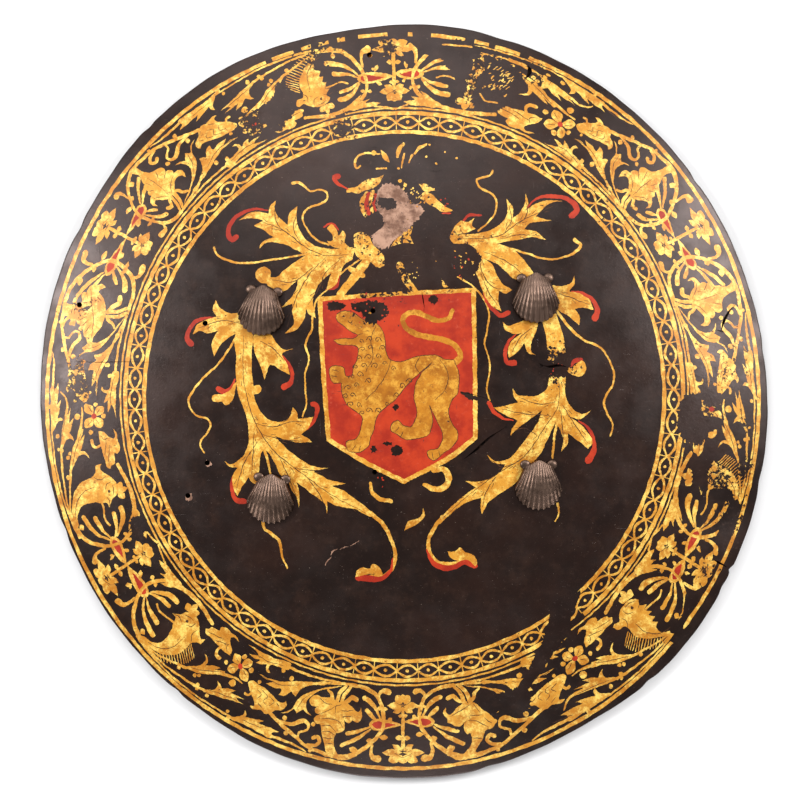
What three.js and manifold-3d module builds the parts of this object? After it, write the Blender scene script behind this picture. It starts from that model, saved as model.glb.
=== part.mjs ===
// A round parade shield: one domed wooden board with a painted face, lying on its rim with
// the face up, and four cast scallop-shell rivets that pass through it.
// Millimetres, +Z up, the top of the painting towards +Y, origin at the middle of the underside.

import * as THREE from "three";
import { mergeVertices } from "three/addons/utils/BufferGeometryUtils.js";
import Module from "manifold-3d";

const wasm = await Module();
wasm.setup();

// The board: a slightly oval disc, shrunk across its grain
const WIDTH = 568;
const HEIGHT = 590;
const LEAN = 2.5; // how far the oval's long axis leans to the left of the top
const RISE = 62; // from the surface it lies on to the crown of the face
const BOARD = 10; // thickness at the crown
const RIM_FACE = 7; // height of the rim's outer edge
const RIM_ROUND = 2.2; // how far the lower corner of the rim is rounded off
const FOOT = 6.5; // width of the flat underside of the rim
const DOME_POWER = 2.2; // above 2, flatter in the middle and steeper at the rim
const SECTORS = 96;
const FACE_RINGS = 11;
const BACK_RINGS = 8;

// Where the hand-cut edge strays from the oval: direction in degrees from +X, how far in, half width
const EDGE_WAVES = [
  { at: 100, inward: 3.2, half: 20 },
  { at: 147, inward: 1.5, half: 15 },
  { at: 255, inward: -1.6, half: 26 },
  { at: 297, inward: 4.2, half: 21 },
];
// Knocks in the face: direction, distance out as a share of the radius, depth, spread
const DENTS = [
  { at: -20, out: 0.93, depth: 3.2, spread: 24 },
  { at: -46, out: 0.8, depth: 1.6, spread: 34 },
  { at: 12, out: 0.9, depth: 1.4, spread: 30 },
];
// Old nail holes, as drilled from the face
const NAIL_RADIUS = 2.1;
const NAIL_DEPTH = 6;
const NAIL_SIDES = 8;
const NAIL_HOLES = [
  [-26.9, 268.5],
  [-252.5, 74.0],
  [-153.2, 59.2],
  [-23.9, 68.4],
  [-151.5, -48.4],
  [-166.7, -73.7],
  [-22.5, -55.3],
];
// The split that runs in from the rim at the lower right
const SPLIT = { at: -27.4, length: 12, gap: 1.6, depth: 5 };

// The rivets: a scallop shell with two ears, on a shank hammered over behind the board
const SHELL_WIDTH = 36.5;
const SHELL_TOP = 19; // from the shank's axis to the hinge edge
const SHELL_BOTTOM = 19; // from the shank's axis to the fan edge
const SHELL_WAIST = 6; // the widest place lies this far below the axis
const SHELL_APEX = 31; // the ribs all point at this place above the hinge
const SHELL_EDGE = 1.8;
const SHELL_RISE = 8;
const RIBS = 13;
const RIB_DEPTH = 1.0;
const SHELL_ROWS = 6;
const EAR = { out: 10.4, up: 15.4, radius: 3.7, thick: 3.4, sides: 12 };
const SHANK_RADIUS = 3;
const SHANK_SIDES = 12;
const CLENCH = { radius: 6, thick: 2 };
const GAP = 0.4; // play between rivet and board
const RIVETS = [
  { name: "scallop_rivet_upper_left", x: -109.0, y: 68.6, turn: -6 },
  { name: "scallop_rivet_upper_right", x: 100.9, y: 78.2, turn: 1 },
  { name: "scallop_rivet_lower_left", x: -102.2, y: -75.2, turn: -5 },
  { name: "scallop_rivet_lower_right", x: 103.0, y: -64.8, turn: 0 },
];

const PAINTED_WOOD = new THREE.MeshStandardMaterial({ color: 0x2a2222, roughness: 0.45, metalness: 0 });
const DARK_BRONZE = new THREE.MeshStandardMaterial({ color: 0x5c4f48, roughness: 0.4, metalness: 0.9 });

const radians = THREE.MathUtils.degToRad;

// Conversions between three.js geometry and solids that can be joined and cut

function toSolid(geometry) {
  const bare = geometry.clone();
  bare.deleteAttribute("normal");
  bare.deleteAttribute("uv");
  const merged = mergeVertices(bare, 1e-4);
  return new wasm.Manifold(
    new wasm.Mesh({
      numProp: 3,
      vertProperties: new Float32Array(merged.attributes.position.array),
      triVerts: new Uint32Array(merged.index.array),
    }),
  );
}

function toGeometry(solid) {
  const mesh = solid.getMesh();
  const geometry = new THREE.BufferGeometry();
  geometry.setAttribute("position", new THREE.BufferAttribute(mesh.vertProperties, 3));
  geometry.setIndex(new THREE.BufferAttribute(mesh.triVerts, 1));
  geometry.computeVertexNormals();
  return geometry;
}

// The board's form

function rimRadius(angle) {
  const oval = (WIDTH + HEIGHT) / 4 + ((WIDTH - HEIGHT) / 4) * Math.cos(2 * angle);
  let radius = oval - LEAN * Math.sin(2 * angle);
  for (const wave of EDGE_WAVES) {
    const off = THREE.MathUtils.euclideanModulo(angle - radians(wave.at) + Math.PI, 2 * Math.PI) - Math.PI;
    const share = Math.abs(off) / radians(wave.half);
    if (share < 1) radius -= wave.inward * Math.cos((share * Math.PI) / 2) ** 2;
  }
  return radius;
}

function dentAt(x, y) {
  let depth = 0;
  for (const dent of DENTS) {
    const angle = radians(dent.at);
    const reach = dent.out * rimRadius(angle);
    const away = Math.hypot(x - reach * Math.cos(angle), y - reach * Math.sin(angle));
    depth += dent.depth * Math.exp(-((away / dent.spread) ** 2));
  }
  return depth;
}

function faceHeight(x, y) {
  const share = Math.hypot(x, y) / rimRadius(Math.atan2(y, x));
  return RIM_FACE + (RISE - RIM_FACE) * (1 - share ** DOME_POWER) - dentAt(x, y);
}

function backRadius(angle) {
  return rimRadius(angle) - RIM_ROUND - FOOT;
}

function backHeight(x, y) {
  const share = Math.hypot(x, y) / backRadius(Math.atan2(y, x));
  return (RISE - BOARD) * (1 - share ** DOME_POWER);
}

function faceNormal(x, y) {
  const step = 0.5;
  const slopeX = (faceHeight(x + step, y) - faceHeight(x - step, y)) / (2 * step);
  const slopeY = (faceHeight(x, y + step) - faceHeight(x, y - step)) / (2 * step);
  return new THREE.Vector3(-slopeX, -slopeY, 1).normalize();
}

// Rings of points from the crown of the face, over the rim, to the middle of the back
function boardRings() {
  const rings = [];
  const ring = (place) =>
    rings.push(
      Array.from({ length: SECTORS }, (_, i) => {
        const angle = (i / SECTORS) * 2 * Math.PI;
        const [radius, height] = place(angle);
        const x = radius * Math.cos(angle);
        const y = radius * Math.sin(angle);
        return [x, y, typeof height === "function" ? height(x, y) : height];
      }),
    );
  for (let i = 1; i <= FACE_RINGS; i++) {
    const share = Math.sqrt(i / FACE_RINGS) * (0.4 + (0.6 * i) / FACE_RINGS);
    ring((angle) => [rimRadius(angle) * share, faceHeight]);
  }
  ring((angle) => [rimRadius(angle), RIM_ROUND]);
  ring((angle) => [rimRadius(angle) - RIM_ROUND, 0]);
  ring((angle) => [backRadius(angle), 0]);
  for (let i = BACK_RINGS - 1; i >= 1; i--) ring((angle) => [(backRadius(angle) * i) / BACK_RINGS, backHeight]);
  return rings;
}

function boardGeometry() {
  const rings = boardRings();
  const points = [[0, 0, faceHeight(0, 0)], ...rings.flat(), [0, 0, backHeight(0, 0)]];
  const last = points.length - 1;
  const at = (ring, i) => 1 + ring * SECTORS + (i % SECTORS);
  const triangles = [];
  for (let i = 0; i < SECTORS; i++) {
    triangles.push(0, at(0, i), at(0, i + 1));
    for (let k = 0; k + 1 < rings.length; k++) {
      triangles.push(at(k, i), at(k + 1, i), at(k + 1, i + 1));
      triangles.push(at(k, i), at(k + 1, i + 1), at(k, i + 1));
    }
    triangles.push(last, at(rings.length - 1, i + 1), at(rings.length - 1, i));
  }
  const geometry = new THREE.BufferGeometry();
  geometry.setAttribute("position", new THREE.Float32BufferAttribute(points.flat(), 3));
  geometry.setIndex(triangles);
  return geometry;
}

// A group whose +Z stands square to the face at x, y, and whose +Y is turned from the painting's top
function onFace(x, y, turn) {
  const up = faceNormal(x, y);
  const along = new THREE.Vector3(0, 1, 0).applyAxisAngle(new THREE.Vector3(0, 0, 1), radians(turn));
  const across = new THREE.Vector3().crossVectors(along, up).normalize();
  const group = new THREE.Group();
  const basis = new THREE.Matrix4().makeBasis(across, new THREE.Vector3().crossVectors(up, across), up);
  group.quaternion.setFromRotationMatrix(basis);
  group.position.set(x, y, faceHeight(x, y));
  group.updateMatrixWorld(true);
  return group;
}

// How far the board's back lies below the face, square to the face
function boardDepth(x, y) {
  const up = faceNormal(x, y);
  const start = new THREE.Vector3(x, y, faceHeight(x, y));
  let depth = 0;
  for (let i = 0; i < 20; i++) {
    const place = start.clone().addScaledVector(up, -depth);
    depth += place.z - backHeight(place.x, place.y);
  }
  return depth;
}

// A round bar along +Z between two heights, in the frame of its group
function bar(radiusLow, radiusHigh, low, high, sides) {
  const geometry = new THREE.CylinderGeometry(radiusHigh, radiusLow, high - low, sides);
  return geometry.rotateX(Math.PI / 2).translate(0, 0, (low + high) / 2);
}

function shieldBoard() {
  let solid = toSolid(boardGeometry());
  const cut = (geometry, group) => {
    solid = solid.subtract(toSolid(geometry.applyMatrix4(group.matrixWorld)));
  };
  for (const rivet of RIVETS) {
    const depth = boardDepth(rivet.x, rivet.y);
    const hole = bar(SHANK_RADIUS + GAP, SHANK_RADIUS + GAP, -depth - BOARD, BOARD, SHANK_SIDES);
    cut(hole, onFace(rivet.x, rivet.y, rivet.turn));
  }
  for (const [x, y] of NAIL_HOLES) {
    cut(bar(NAIL_RADIUS / 2, NAIL_RADIUS, -NAIL_DEPTH, NAIL_DEPTH, NAIL_SIDES), onFace(x, y, 0));
  }
  const angle = radians(SPLIT.at);
  const edge = rimRadius(angle);
  const wedge = new THREE.BoxGeometry(SPLIT.length, SPLIT.gap, SPLIT.depth);
  cut(wedge, onFace((edge - SPLIT.length / 3) * Math.cos(angle), (edge - SPLIT.length / 3) * Math.sin(angle), SPLIT.at));
  const mesh = new THREE.Mesh(toGeometry(solid), PAINTED_WOOD);
  mesh.name = "shield_board";
  return mesh;
}

// The shell's upper surface: columns are ribs and furrows, rows run from hinge to fan edge
function shellPoint(column, columns, row) {
  const turn = ((column / (columns - 1)) * 2 - 1) * (Math.PI / 2);
  const down = row / (SHELL_ROWS - 1);
  const onRib = column % 2;
  const edgeX = (SHELL_WIDTH / 2) * Math.sin(turn);
  const edgeY = -SHELL_WAIST - (SHELL_BOTTOM - SHELL_WAIST) * Math.cos(turn);
  const hingeY = SHELL_TOP - 2 * Math.sin(turn) ** 2;
  const start = (SHELL_APEX - hingeY) / (SHELL_APEX - edgeY);
  const share = start + (1 - start) * down;
  const crown = Math.sin(Math.PI * (0.2 + 0.76 * down)) * Math.abs(Math.cos(turn)) ** 0.6;
  const rib = onRib * RIB_DEPTH * (0.3 + 0.7 * down);
  const x = edgeX * share;
  const y = SHELL_APEX + (edgeY - SHELL_APEX) * share;
  return [x, y, SHELL_EDGE + SHELL_RISE * crown + rib];
}

function shellGeometry() {
  const columns = 2 * RIBS + 1;
  const points = [];
  for (let column = 0; column < columns; column++) {
    for (let row = 0; row < SHELL_ROWS; row++) points.push(shellPoint(column, columns, row));
  }
  const under = points.length;
  points.push(...points.map(([x, y]) => [x, y, 0]));
  const at = (column, row) => column * SHELL_ROWS + row;
  const triangles = [];
  const quad = (a, b, c, d) => triangles.push(a, b, c, a, c, d);
  for (let column = 0; column + 1 < columns; column++) {
    for (let row = 0; row + 1 < SHELL_ROWS; row++) {
      const corners = [at(column, row), at(column, row + 1), at(column + 1, row + 1), at(column + 1, row)];
      quad(...corners);
      quad(...corners.map((corner) => corner + under).reverse());
    }
  }
  const rim = [];
  for (let column = 0; column < columns; column++) rim.push(at(column, SHELL_ROWS - 1));
  for (let row = SHELL_ROWS - 2; row >= 0; row--) rim.push(at(columns - 1, row));
  for (let column = columns - 2; column >= 0; column--) rim.push(at(column, 0));
  for (let row = 1; row < SHELL_ROWS - 1; row++) rim.push(at(0, row));
  rim.forEach((corner, i) => {
    const next = rim[(i + 1) % rim.length];
    quad(corner, corner + under, next + under, next);
  });
  const geometry = new THREE.BufferGeometry();
  geometry.setAttribute("position", new THREE.Float32BufferAttribute(points.flat(), 3));
  geometry.setIndex(triangles);
  return geometry.translate(0, 0, GAP);
}

function scallopRivet({ name, x, y, turn }) {
  const behind = -boardDepth(x, y) - GAP;
  let solid = toSolid(shellGeometry());
  for (const side of [-1, 1]) {
    const ear = bar(EAR.radius, EAR.radius, GAP, GAP + EAR.thick, EAR.sides);
    solid = solid.add(toSolid(ear.translate(side * EAR.out, EAR.up, 0)));
  }
  solid = solid.add(toSolid(bar(SHANK_RADIUS, SHANK_RADIUS, behind - CLENCH.thick / 2, 2 * GAP, SHANK_SIDES)));
  solid = solid.add(toSolid(bar(CLENCH.radius * 0.8, CLENCH.radius, behind - CLENCH.thick, behind, SHANK_SIDES)));
  const mesh = new THREE.Mesh(toGeometry(solid), DARK_BRONZE);
  mesh.name = name;
  const group = onFace(x, y, turn);
  group.add(mesh);
  return group;
}

const shield = new THREE.Group();
shield.add(shieldBoard());
for (const rivet of RIVETS) shield.add(scallopRivet(rivet));

export default shield;
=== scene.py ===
# %% [markdown]
# # A painted and gilded round shield
# The shield is one domed wooden board, painted black, with gilt and red ornament on its face and four
# cast scallop shells riveted through it. It lies on its rim with the face up, and the camera looks
# straight down on it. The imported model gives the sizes. This lesson adds what the solids can't show:
# the painting and its wear, the fine ribs of the shells and the grain of the bare back.

# %% Load the frame
import math

import bpy
import numpy as np
from mathutils import Matrix, Vector
from mathutils.geometry import delaunay_2d_cdt


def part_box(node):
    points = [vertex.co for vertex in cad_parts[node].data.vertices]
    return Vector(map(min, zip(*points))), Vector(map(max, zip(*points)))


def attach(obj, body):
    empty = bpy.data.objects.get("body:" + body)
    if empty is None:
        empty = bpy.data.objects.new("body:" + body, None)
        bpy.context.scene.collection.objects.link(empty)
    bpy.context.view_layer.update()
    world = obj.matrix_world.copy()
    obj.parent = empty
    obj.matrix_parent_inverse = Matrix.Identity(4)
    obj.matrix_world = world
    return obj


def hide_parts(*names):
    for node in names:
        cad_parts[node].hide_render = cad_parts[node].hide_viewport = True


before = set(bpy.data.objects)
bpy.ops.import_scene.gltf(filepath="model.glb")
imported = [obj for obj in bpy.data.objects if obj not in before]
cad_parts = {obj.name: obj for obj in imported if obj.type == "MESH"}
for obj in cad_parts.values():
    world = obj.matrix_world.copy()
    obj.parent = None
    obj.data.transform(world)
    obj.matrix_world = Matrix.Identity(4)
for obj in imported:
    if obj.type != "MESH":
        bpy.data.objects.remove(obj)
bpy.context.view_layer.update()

MM = 0.001

# %% [markdown]
# ## The form of the board
# The board is a slightly oval disc that bulges to a low crown. Its plan radius and its height follow
# short formulas, so the same formulas that shaped the solid are written here again, in millimetres.
# Every later step asks them where the surface is, and nothing has to be fitted by eye.

# %% The board's plan and height
WIDTH = 568
HEIGHT = 590
LEAN = 2.5
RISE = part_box("shield_board")[1].z/MM
BOARD = 10
RIM_FACE = 7
RIM_ROUND = 2.2
FOOT = 6.5
DOME_POWER = 2.2
# direction in degrees from +X, how far in, half width in degrees
EDGE_WAVES = [(100, 3.2, 20), (147, 1.5, 15), (255, -1.6, 26), (297, 4.2, 21)]
# direction, distance out as a share of the radius, depth, spread
DENTS = [(-20, 0.93, 3.2, 24), (-46, 0.8, 1.6, 34), (12, 0.9, 1.4, 30)]


def rim_radius(angle):
    """The plan radius at an angle from +X, in radians."""
    radius = (WIDTH + HEIGHT)/4 + (WIDTH - HEIGHT)/4*np.cos(2*angle) - LEAN*np.sin(2*angle)
    for at, inward, half in EDGE_WAVES:
        away = np.abs((angle - math.radians(at) + math.pi) % (2*math.pi) - math.pi)/math.radians(half)
        radius = radius - inward*np.cos(np.minimum(away, 1)*math.pi/2)**2
    return radius


def dent_depth(x, y):
    """How far old knocks have pushed the face in."""
    depth = 0
    for at, out, deep, spread in DENTS:
        angle = math.radians(at)
        reach = out*rim_radius(angle)
        away = np.hypot(x - reach*math.cos(angle), y - reach*math.sin(angle))
        depth = depth + deep*np.exp(-(away/spread)**2)
    return depth


def face_height(x, y):
    share = np.hypot(x, y)/rim_radius(np.arctan2(y, x))
    return RIM_FACE + (RISE - RIM_FACE)*(1 - share**DOME_POWER) - dent_depth(x, y)


def back_radius(angle):
    return rim_radius(angle) - RIM_ROUND - FOOT


def back_height(x, y):
    share = np.hypot(x, y)/back_radius(np.arctan2(y, x))
    return (RISE - BOARD)*(1 - np.minimum(share, 1)**DOME_POWER)


def upward(height, x, y, step=0.5):
    """Unit normals of a height formula, pointing up."""
    slope_x = (height(x + step, y) - height(x - step, y))/(2*step)
    slope_y = (height(x, y + step) - height(x, y - step))/(2*step)
    normal = np.stack([-slope_x, -slope_y, np.ones_like(slope_x)], axis=-1)
    return normal/np.linalg.norm(normal, axis=-1, keepdims=True)


print("crown", round(float(face_height(0.0, 0.0)), 1), "mm, rim radius", rim_radius(np.zeros(1)).round(1))

# %% [markdown]
# ## Drawing as the painter saw it
# The ornament was laid out flat, as it looks from the front. So it is drawn in layout millimetres, as
# seen from the eye above the shield, and each point is then slid along its sight line onto the dome.
# A few rounds of asking the dome for its height are enough to find the place.

# %% From the layout to the dome
EYE = (-3.1, 0.0, 3000.0)


def on_dome(layout):
    """Plan positions on the face of points drawn as seen from the eye, on the plane of the rim."""
    eye = np.array(EYE[:2])
    plan = layout.copy()
    for _ in range(5):
        height = face_height(plan[:, 0], plan[:, 1])
        plan = eye + (layout - eye)*((EYE[2] - height)/(EYE[2] - RIM_FACE))[:, None]
    return plan


def as_seen(plan):
    """The layout position at which a place on the face is seen."""
    eye = np.array(EYE[:2])
    height = face_height(plan[:, 0], plan[:, 1])
    return eye + (plan - eye)*((EYE[2] - RIM_FACE)/(EYE[2] - height))[:, None]


print("100 mm out in the layout is", on_dome(np.array([[100.0, 0.0]])).round(2)[0], "on the face")

# %% [markdown]
# ## Brush strokes and filled shapes
# Gilt ornament of this kind is built from a few moves of the brush: an even line, a stroke that
# swells, a drop, a ball, a petal and a cut-out leaf. Each is a closed outline here. The outlines pass
# smoothly through a few chosen points, and turn sharply only where a point is marked as a tip.

# %% Smooth outlines
TIP = "tip"


def smooth(points, closed=False, step=1.5):
    """A curve through chosen points, with a corner at each point that is marked TIP."""
    spots = np.array([point[:2] for point in points], float)
    corner = np.array([len(point) > 2 for point in points])[:, None]
    span = np.roll(spots, -1, axis=0) - spots
    length = np.maximum(np.linalg.norm(span, axis=1), 1e-6)[:, None]
    unit = span/length
    unit_before = np.roll(unit, 1, axis=0)
    length_before = np.roll(length, 1, axis=0)
    tangent = (unit_before*length + unit*length_before)/(length + length_before)
    leaving = np.where(corner, unit, tangent)
    arriving = np.where(corner, unit_before, tangent)
    if not closed:
        leaving[0] = unit[0]
        arriving[-1] = unit_before[-1]
    pieces = []
    for i in range(len(spots) if closed else len(spots) - 1):
        j = (i + 1) % len(spots)
        count = max(1, math.ceil(length[i, 0]/step))
        t = (np.arange(count)/count)[:, None]
        start = (2*t**3 - 3*t**2 + 1)*spots[i] + (t**3 - 2*t**2 + t)*leaving[i]*length[i]
        end = (3*t**2 - 2*t**3)*spots[j] + (t**3 - t**2)*arriving[j]*length[i]
        pieces.append(start + end)
    if not closed:
        pieces.append(spots[-1:])
    return np.concatenate(pieces)


def stroke(points, widths, step=1.8):
    """The outline of a brush stroke with round ends. The widths are spread evenly along it."""
    path = smooth(points, step=step)
    run = np.concatenate([[0], np.cumsum(np.linalg.norm(np.diff(path, axis=0), axis=1))])
    half = np.interp(run/run[-1], np.linspace(0, 1, len(widths)), widths)[:, None]/2
    ahead = np.gradient(path, axis=0)
    ahead = ahead/np.maximum(np.linalg.norm(ahead, axis=1, keepdims=True), 1e-9)
    aside = np.stack([-ahead[:, 1], ahead[:, 0]], axis=1)
    left = path + aside*half
    right = path - aside*half
    turn = np.radians([45, 90, 135])[:, None]
    end = path[-1] + half[-1]*(aside[-1]*np.cos(turn) + ahead[-1]*np.sin(turn))
    start = path[0] - half[0]*(aside[0]*np.cos(turn) + ahead[0]*np.sin(turn))
    return np.concatenate([left, end, right[::-1], start])


print("a smooth square has", len(smooth([(0, 0), (9, 0), (9, 9), (0, 9)], closed=True)), "points")

# %% A stack of painted shapes
# hollow is the near-black painted shade inside the nail holes and slits
PAINTS = ["ground", "gold", "red", "line", "bare", "hollow", "wood", "tawny"]
GROUND, GOLD, RED, LINE, BARE, HOLLOW, WOOD, TAWNY = range(len(PAINTS))


class Pattern:
    """Painted shapes in the order in which they were painted, the last on top."""

    def __init__(self):
        self.shapes = []

    def fill(self, paint, outline):
        self.shapes.append((paint, np.asarray(outline, float)))

    def shape(self, paint, points, step=1.5):
        self.fill(paint, smooth(points, closed=True, step=step))

    def line(self, paint, points, *widths):
        self.fill(paint, stroke(points, widths if len(widths) > 1 else widths*2))

    def ball(self, paint, x, y, radius, sides=10):
        turn = np.linspace(0, 2*math.pi, sides, endpoint=False)
        self.fill(paint, np.stack([x + radius*np.cos(turn), y + radius*np.sin(turn)], axis=1))

    def petal(self, paint, base, tip, width, belly=0.6, pointed=True):
        """A drop from a narrow base to a tip, widest at belly of its length."""
        base, tip = np.array(base, float), np.array(tip, float)
        aside = np.array([base[1] - tip[1], tip[0] - base[0]])
        aside = aside/np.linalg.norm(aside)*width/2
        middle = base + (tip - base)*belly
        end = (*tip, TIP) if pointed else tuple(tip)
        points = [(*base, TIP), tuple(middle + aside), end, tuple(middle - aside)]
        self.shape(paint, points, step=1.3)

    def flower(self, paint, centre, tips, width):
        for tip in tips:
            self.petal(paint, centre, tip, width, belly=0.66, pointed=False)

    def add(self, other, move=lambda outline: outline):
        for paint, outline in other.shapes:
            self.fill(paint, move(outline))


painting = Pattern()
print("the painting starts with", len(painting.shapes), "shapes")

# %% [markdown]
# ## Ring lines and the chain of eyes
# Gilt lines and a chain of 78 eyes part the middle from the border. They are slightly oval, as the
# board has shrunk across its grain. Each line is painted in stretches, from the end of one worn gap to
# the start of the next. The chain is two waves that cross between the eyes.

# %% Lines round the shield
# centre of an oval ring, and how much its radius grows upwards and shrinks sideways
MIDDLE_RING = ((0.2, 2.65), 1.85)
OUTER_RING = ((-0.8, -1.0), 4.4)
EYES = 78
CHAIN = 212.3
CHAIN_HALF = 4.4
CHAIN_LINE = 1.9
PUPIL = 1.3
# millimetres across the chain and degrees along it
TICK_CORNERS = [(-6, -0.1), (6, -0.1), (6, 0.1), (-6, 0.1)]


def on_ring(mean, clockwise, ring=MIDDLE_RING):
    """Points on an oval ring of a mean radius, at angles in degrees clockwise from the top."""
    (x, y), oval = ring
    turn = np.radians(clockwise)
    return np.stack([x + (mean - oval)*np.sin(turn), y + (mean + oval)*np.cos(turn)], axis=-1)


def ring_line(mean, width, gaps=((0, 0), (180, 180)), ring=MIDDLE_RING):
    """A painted line all round, with a worn gap between each pair of angles."""
    ends = [gap[0] for gap in gaps[1:]] + [gaps[0][0] + 360]
    for (_, start), end in zip(gaps, ends):
        turn = np.linspace(start, end, math.ceil(end - start) + 1)
        outer = on_ring(mean + width/2, turn, ring)
        painting.fill(GOLD, np.concatenate([outer, on_ring(mean - width/2, turn, ring)[::-1]]))


ring_line(204.8, 3.0)
ring_line(219.6, 3.2, [(96.3, 97), (140, 146)])
ring_line(223.4, 1.3, [(91.9, 96.3), (99.2, 100.2), (144, 152.7), (346, 348)])
ring_line(282.2, 2.8, [(1.5, 4.6), (10, 11.6), (14, 15), (19.2, 20.7), (128.1, 131), (337.3, 338.5),
                       (342.1, 343.4), (345, 346.2), (348, 349.4), (350.6, 352.7), (357.5, 360.8)],
          OUTER_RING)


def crossing(eye):
    """The angle at which an eye of the chain starts, spaced by hand."""
    even = eye*360/EYES
    return even + 1.8*math.sin(math.radians(even - 70)) + 0.2*math.sin(eye*2.4)


for eye in range(EYES):
    left, right = crossing(eye), crossing(eye + 1)
    turn = np.linspace(left - 0.2, right + 0.2, 13)
    wave = CHAIN_HALF*np.sin(np.clip((turn - left)/(right - left), 0, 1)*math.pi)**0.85
    for side in (-1, 1):
        line = CHAIN + side*wave
        outer = on_ring(line + CHAIN_LINE/2, turn)
        painting.fill(GOLD, np.concatenate([outer, on_ring(line - CHAIN_LINE/2, turn)[::-1]]))
    painting.fill(GOLD, [on_ring(CHAIN + out, left + along) for out, along in TICK_CORNERS])
    middle = on_ring(CHAIN, 0.5*(left + right))
    painting.ball(GOLD, middle[0], middle[1], PUPIL, sides=8)
print("lines and chain:", len(painting.shapes), "shapes")

# %% [markdown]
# ## The border, unrolled
# The border repeats a panel and its mirror image three times round. It is easiest to draw unrolled: u
# runs along the band from one axis to the next and v across it, in millimetres. The painter set the
# panels out by hand, and no two are alike in length. So every panel has its own list of turns, the
# angles at which its seven landmarks came to stand, and a formula bends the drawing to them.

# %% Bending a panel round the border
BAND = 54.0
BAND_INSIDE = np.array([224.8, 228.5])
BAND_OUTSIDE = np.array([276.2, 285.0])
INSIDE_CENTRE = np.array([-0.8, 1.9])
OUTSIDE_CENTRE = np.array([-0.8, -1.0])
DEGREES = 60/267
# u of axis, first C-curve, dolphin, rosette, tulip, second C-curve and next axis
LANDMARKS = [4, 26.5, 71, 127.5, 214, 252, 267]
# start in degrees clockwise, direction, turns of the landmarks, lift of first drop, rosette and last drop
PANELS = [
    (0, 1, [-1.6, 1.7, 12.8, 29.9, 48.1, 55.5, 59.6], [-1.6, 2.8, -3.2]),
    (120, -1, [0.6, 4.8, 15.4, 28.1, 48.1, 56.5, 60.4], [1.2, 0.8, -1.5]),
    (120, 1, [-0.6, 2.6, 12.5, 26.5, 48.1, 57.1, 60.0], [1.9, -1.1, -2.3]),
    (240, -1, [0.9, 6.0, 16.0, 28.7, 48.1, 56.6, 60.0], [0, 0, 0]),
    (240, 1, [-0.9, 3.1, 12.6, 26.8, 46.0, 55.5, 60.4], [0.3, 1.2, 0.8]),
    (360, -1, [1.6, 6.6, 15.4, 28.4, 48.6, 55.0, 59.6], [-3.5, -0.8, 1.3]),
]
AXES = [-1.6, 59.6, 119.4, 180.0, 239.1, 300.4]


def on_border(clockwise, v):
    """Layout positions on the border, from degrees clockwise and millimetres across the band."""
    turn = np.radians(clockwise)
    heading = np.stack([np.sin(turn), np.cos(turn)], axis=-1)
    inner = INSIDE_CENTRE + heading/np.linalg.norm(heading/BAND_INSIDE, axis=-1, keepdims=True)
    outer = OUTSIDE_CENTRE + heading/np.linalg.norm(heading/BAND_OUTSIDE, axis=-1, keepdims=True)
    return inner + (outer - inner)*(np.asarray(v)/BAND)[..., None]


def panel_bend(start, way, turns, lifts):
    """A function that bends outlines in u and v into one panel of the border."""
    def bend(outline):
        u, v = outline.T
        beyond = np.minimum(u - LANDMARKS[0], 0) + np.maximum(u - LANDMARKS[-1], 0)
        along = np.interp(u, LANDMARKS, turns) + beyond*DEGREES
        lift = np.interp(u, LANDMARKS[1::2], lifts)*np.sin(np.clip(v/BAND, 0, 1)*math.pi)
        return on_border(start + way*along, v + lift)
    return bend


print("the border at the top starts at", on_border(0.0, 0.0).round(1))

# %% What stands on an axis


def axis_stem():
    """The stem on an axis, with a flower at each end."""
    stem = Pattern()
    stem.line(GOLD, [(0, 41), (0, 13)], 2.6)
    for side in (-1, 1):
        stem.petal(GOLD, (0, 33.5), (side*5.5, 34), 3.6, pointed=False)
        stem.petal(GOLD, (0, 18.5), (side*4, 18), 2.6, pointed=False)
        stem.petal(GOLD, (0, 44), (side*15.5, 44.6), 5.4)
        stem.petal(GOLD, (0, 46), (side*10.5, 50.4), 6.4, pointed=False)
        stem.petal(GOLD, (0, 43), (side*8, 38.6), 4)
        stem.petal(GOLD, (0, 11), (side*12.8, 11), 5.4)
        stem.petal(GOLD, (0, 12), (side*8, 16), 4.4)
        stem.petal(GOLD, (0, 10), (side*6, 4), 7, pointed=False)
    stem.petal(GOLD, (0, 45), (0, 52), 9, pointed=False)
    stem.petal(GOLD, (0, 11), (0, 2.6), 8, pointed=False)
    for v in (46, 9.5):
        stem.ball(LINE, 0, v, 0.9)
        stem.line(LINE, [(-6, v - 1), (0, v + 1.5), (6, v - 1)], 0.3)
    return stem


print("an axis stem has", len(axis_stem().shapes), "shapes")

# %% The near end of a panel: C-curve, clubs and bristled dolphin
DOLPHIN = [(51, 50), (58, 49.6), (66, 48.6), (73, 46), (79, 41.5), (82.5, 36), (83.8, 30), (84.5, 25),
           (87, 22), (91, 21, TIP), (91.7, 18.5), (91.5, 16, TIP), (89, 17.5), (84, 14.5), (80, 11),
           (74, 8.3), (68, 9), (65, 11), (63.5, 14.5), (60.5, 17), (57.2, 19, TIP), (62, 19.8), (63, 22),
           (63.5, 24.5), (65.5, 27), (66.3, 31), (67.3, 36), (67, 39.5), (64.5, 43), (60, 46), (54, 47.2)]
SPINY = [(61.5, 50.3), (66.7, 49.5), (73.3, 44), (77.9, 40), (81.9, 34.5), (83.5, 29), (82.7, 24.3),
         (84.5, 20.4), (88.8, 20), (91.2, 15.7, TIP), (88.6, 14.4), (85, 15.7), (81.9, 12.5), (76.4, 9.9),
         (71, 9.4), (65, 11.4), (61.8, 14.9, TIP), (64.7, 17.7), (60.2, 22, TIP), (64.1, 23),
         (61.6, 27.8, TIP), (65.2, 28.3), (62.9, 32.5, TIP), (66.5, 33.5), (64.1, 36.9, TIP),
         (68.1, 38.8), (68.3, 43.2), (65.8, 46.7)]
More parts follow.
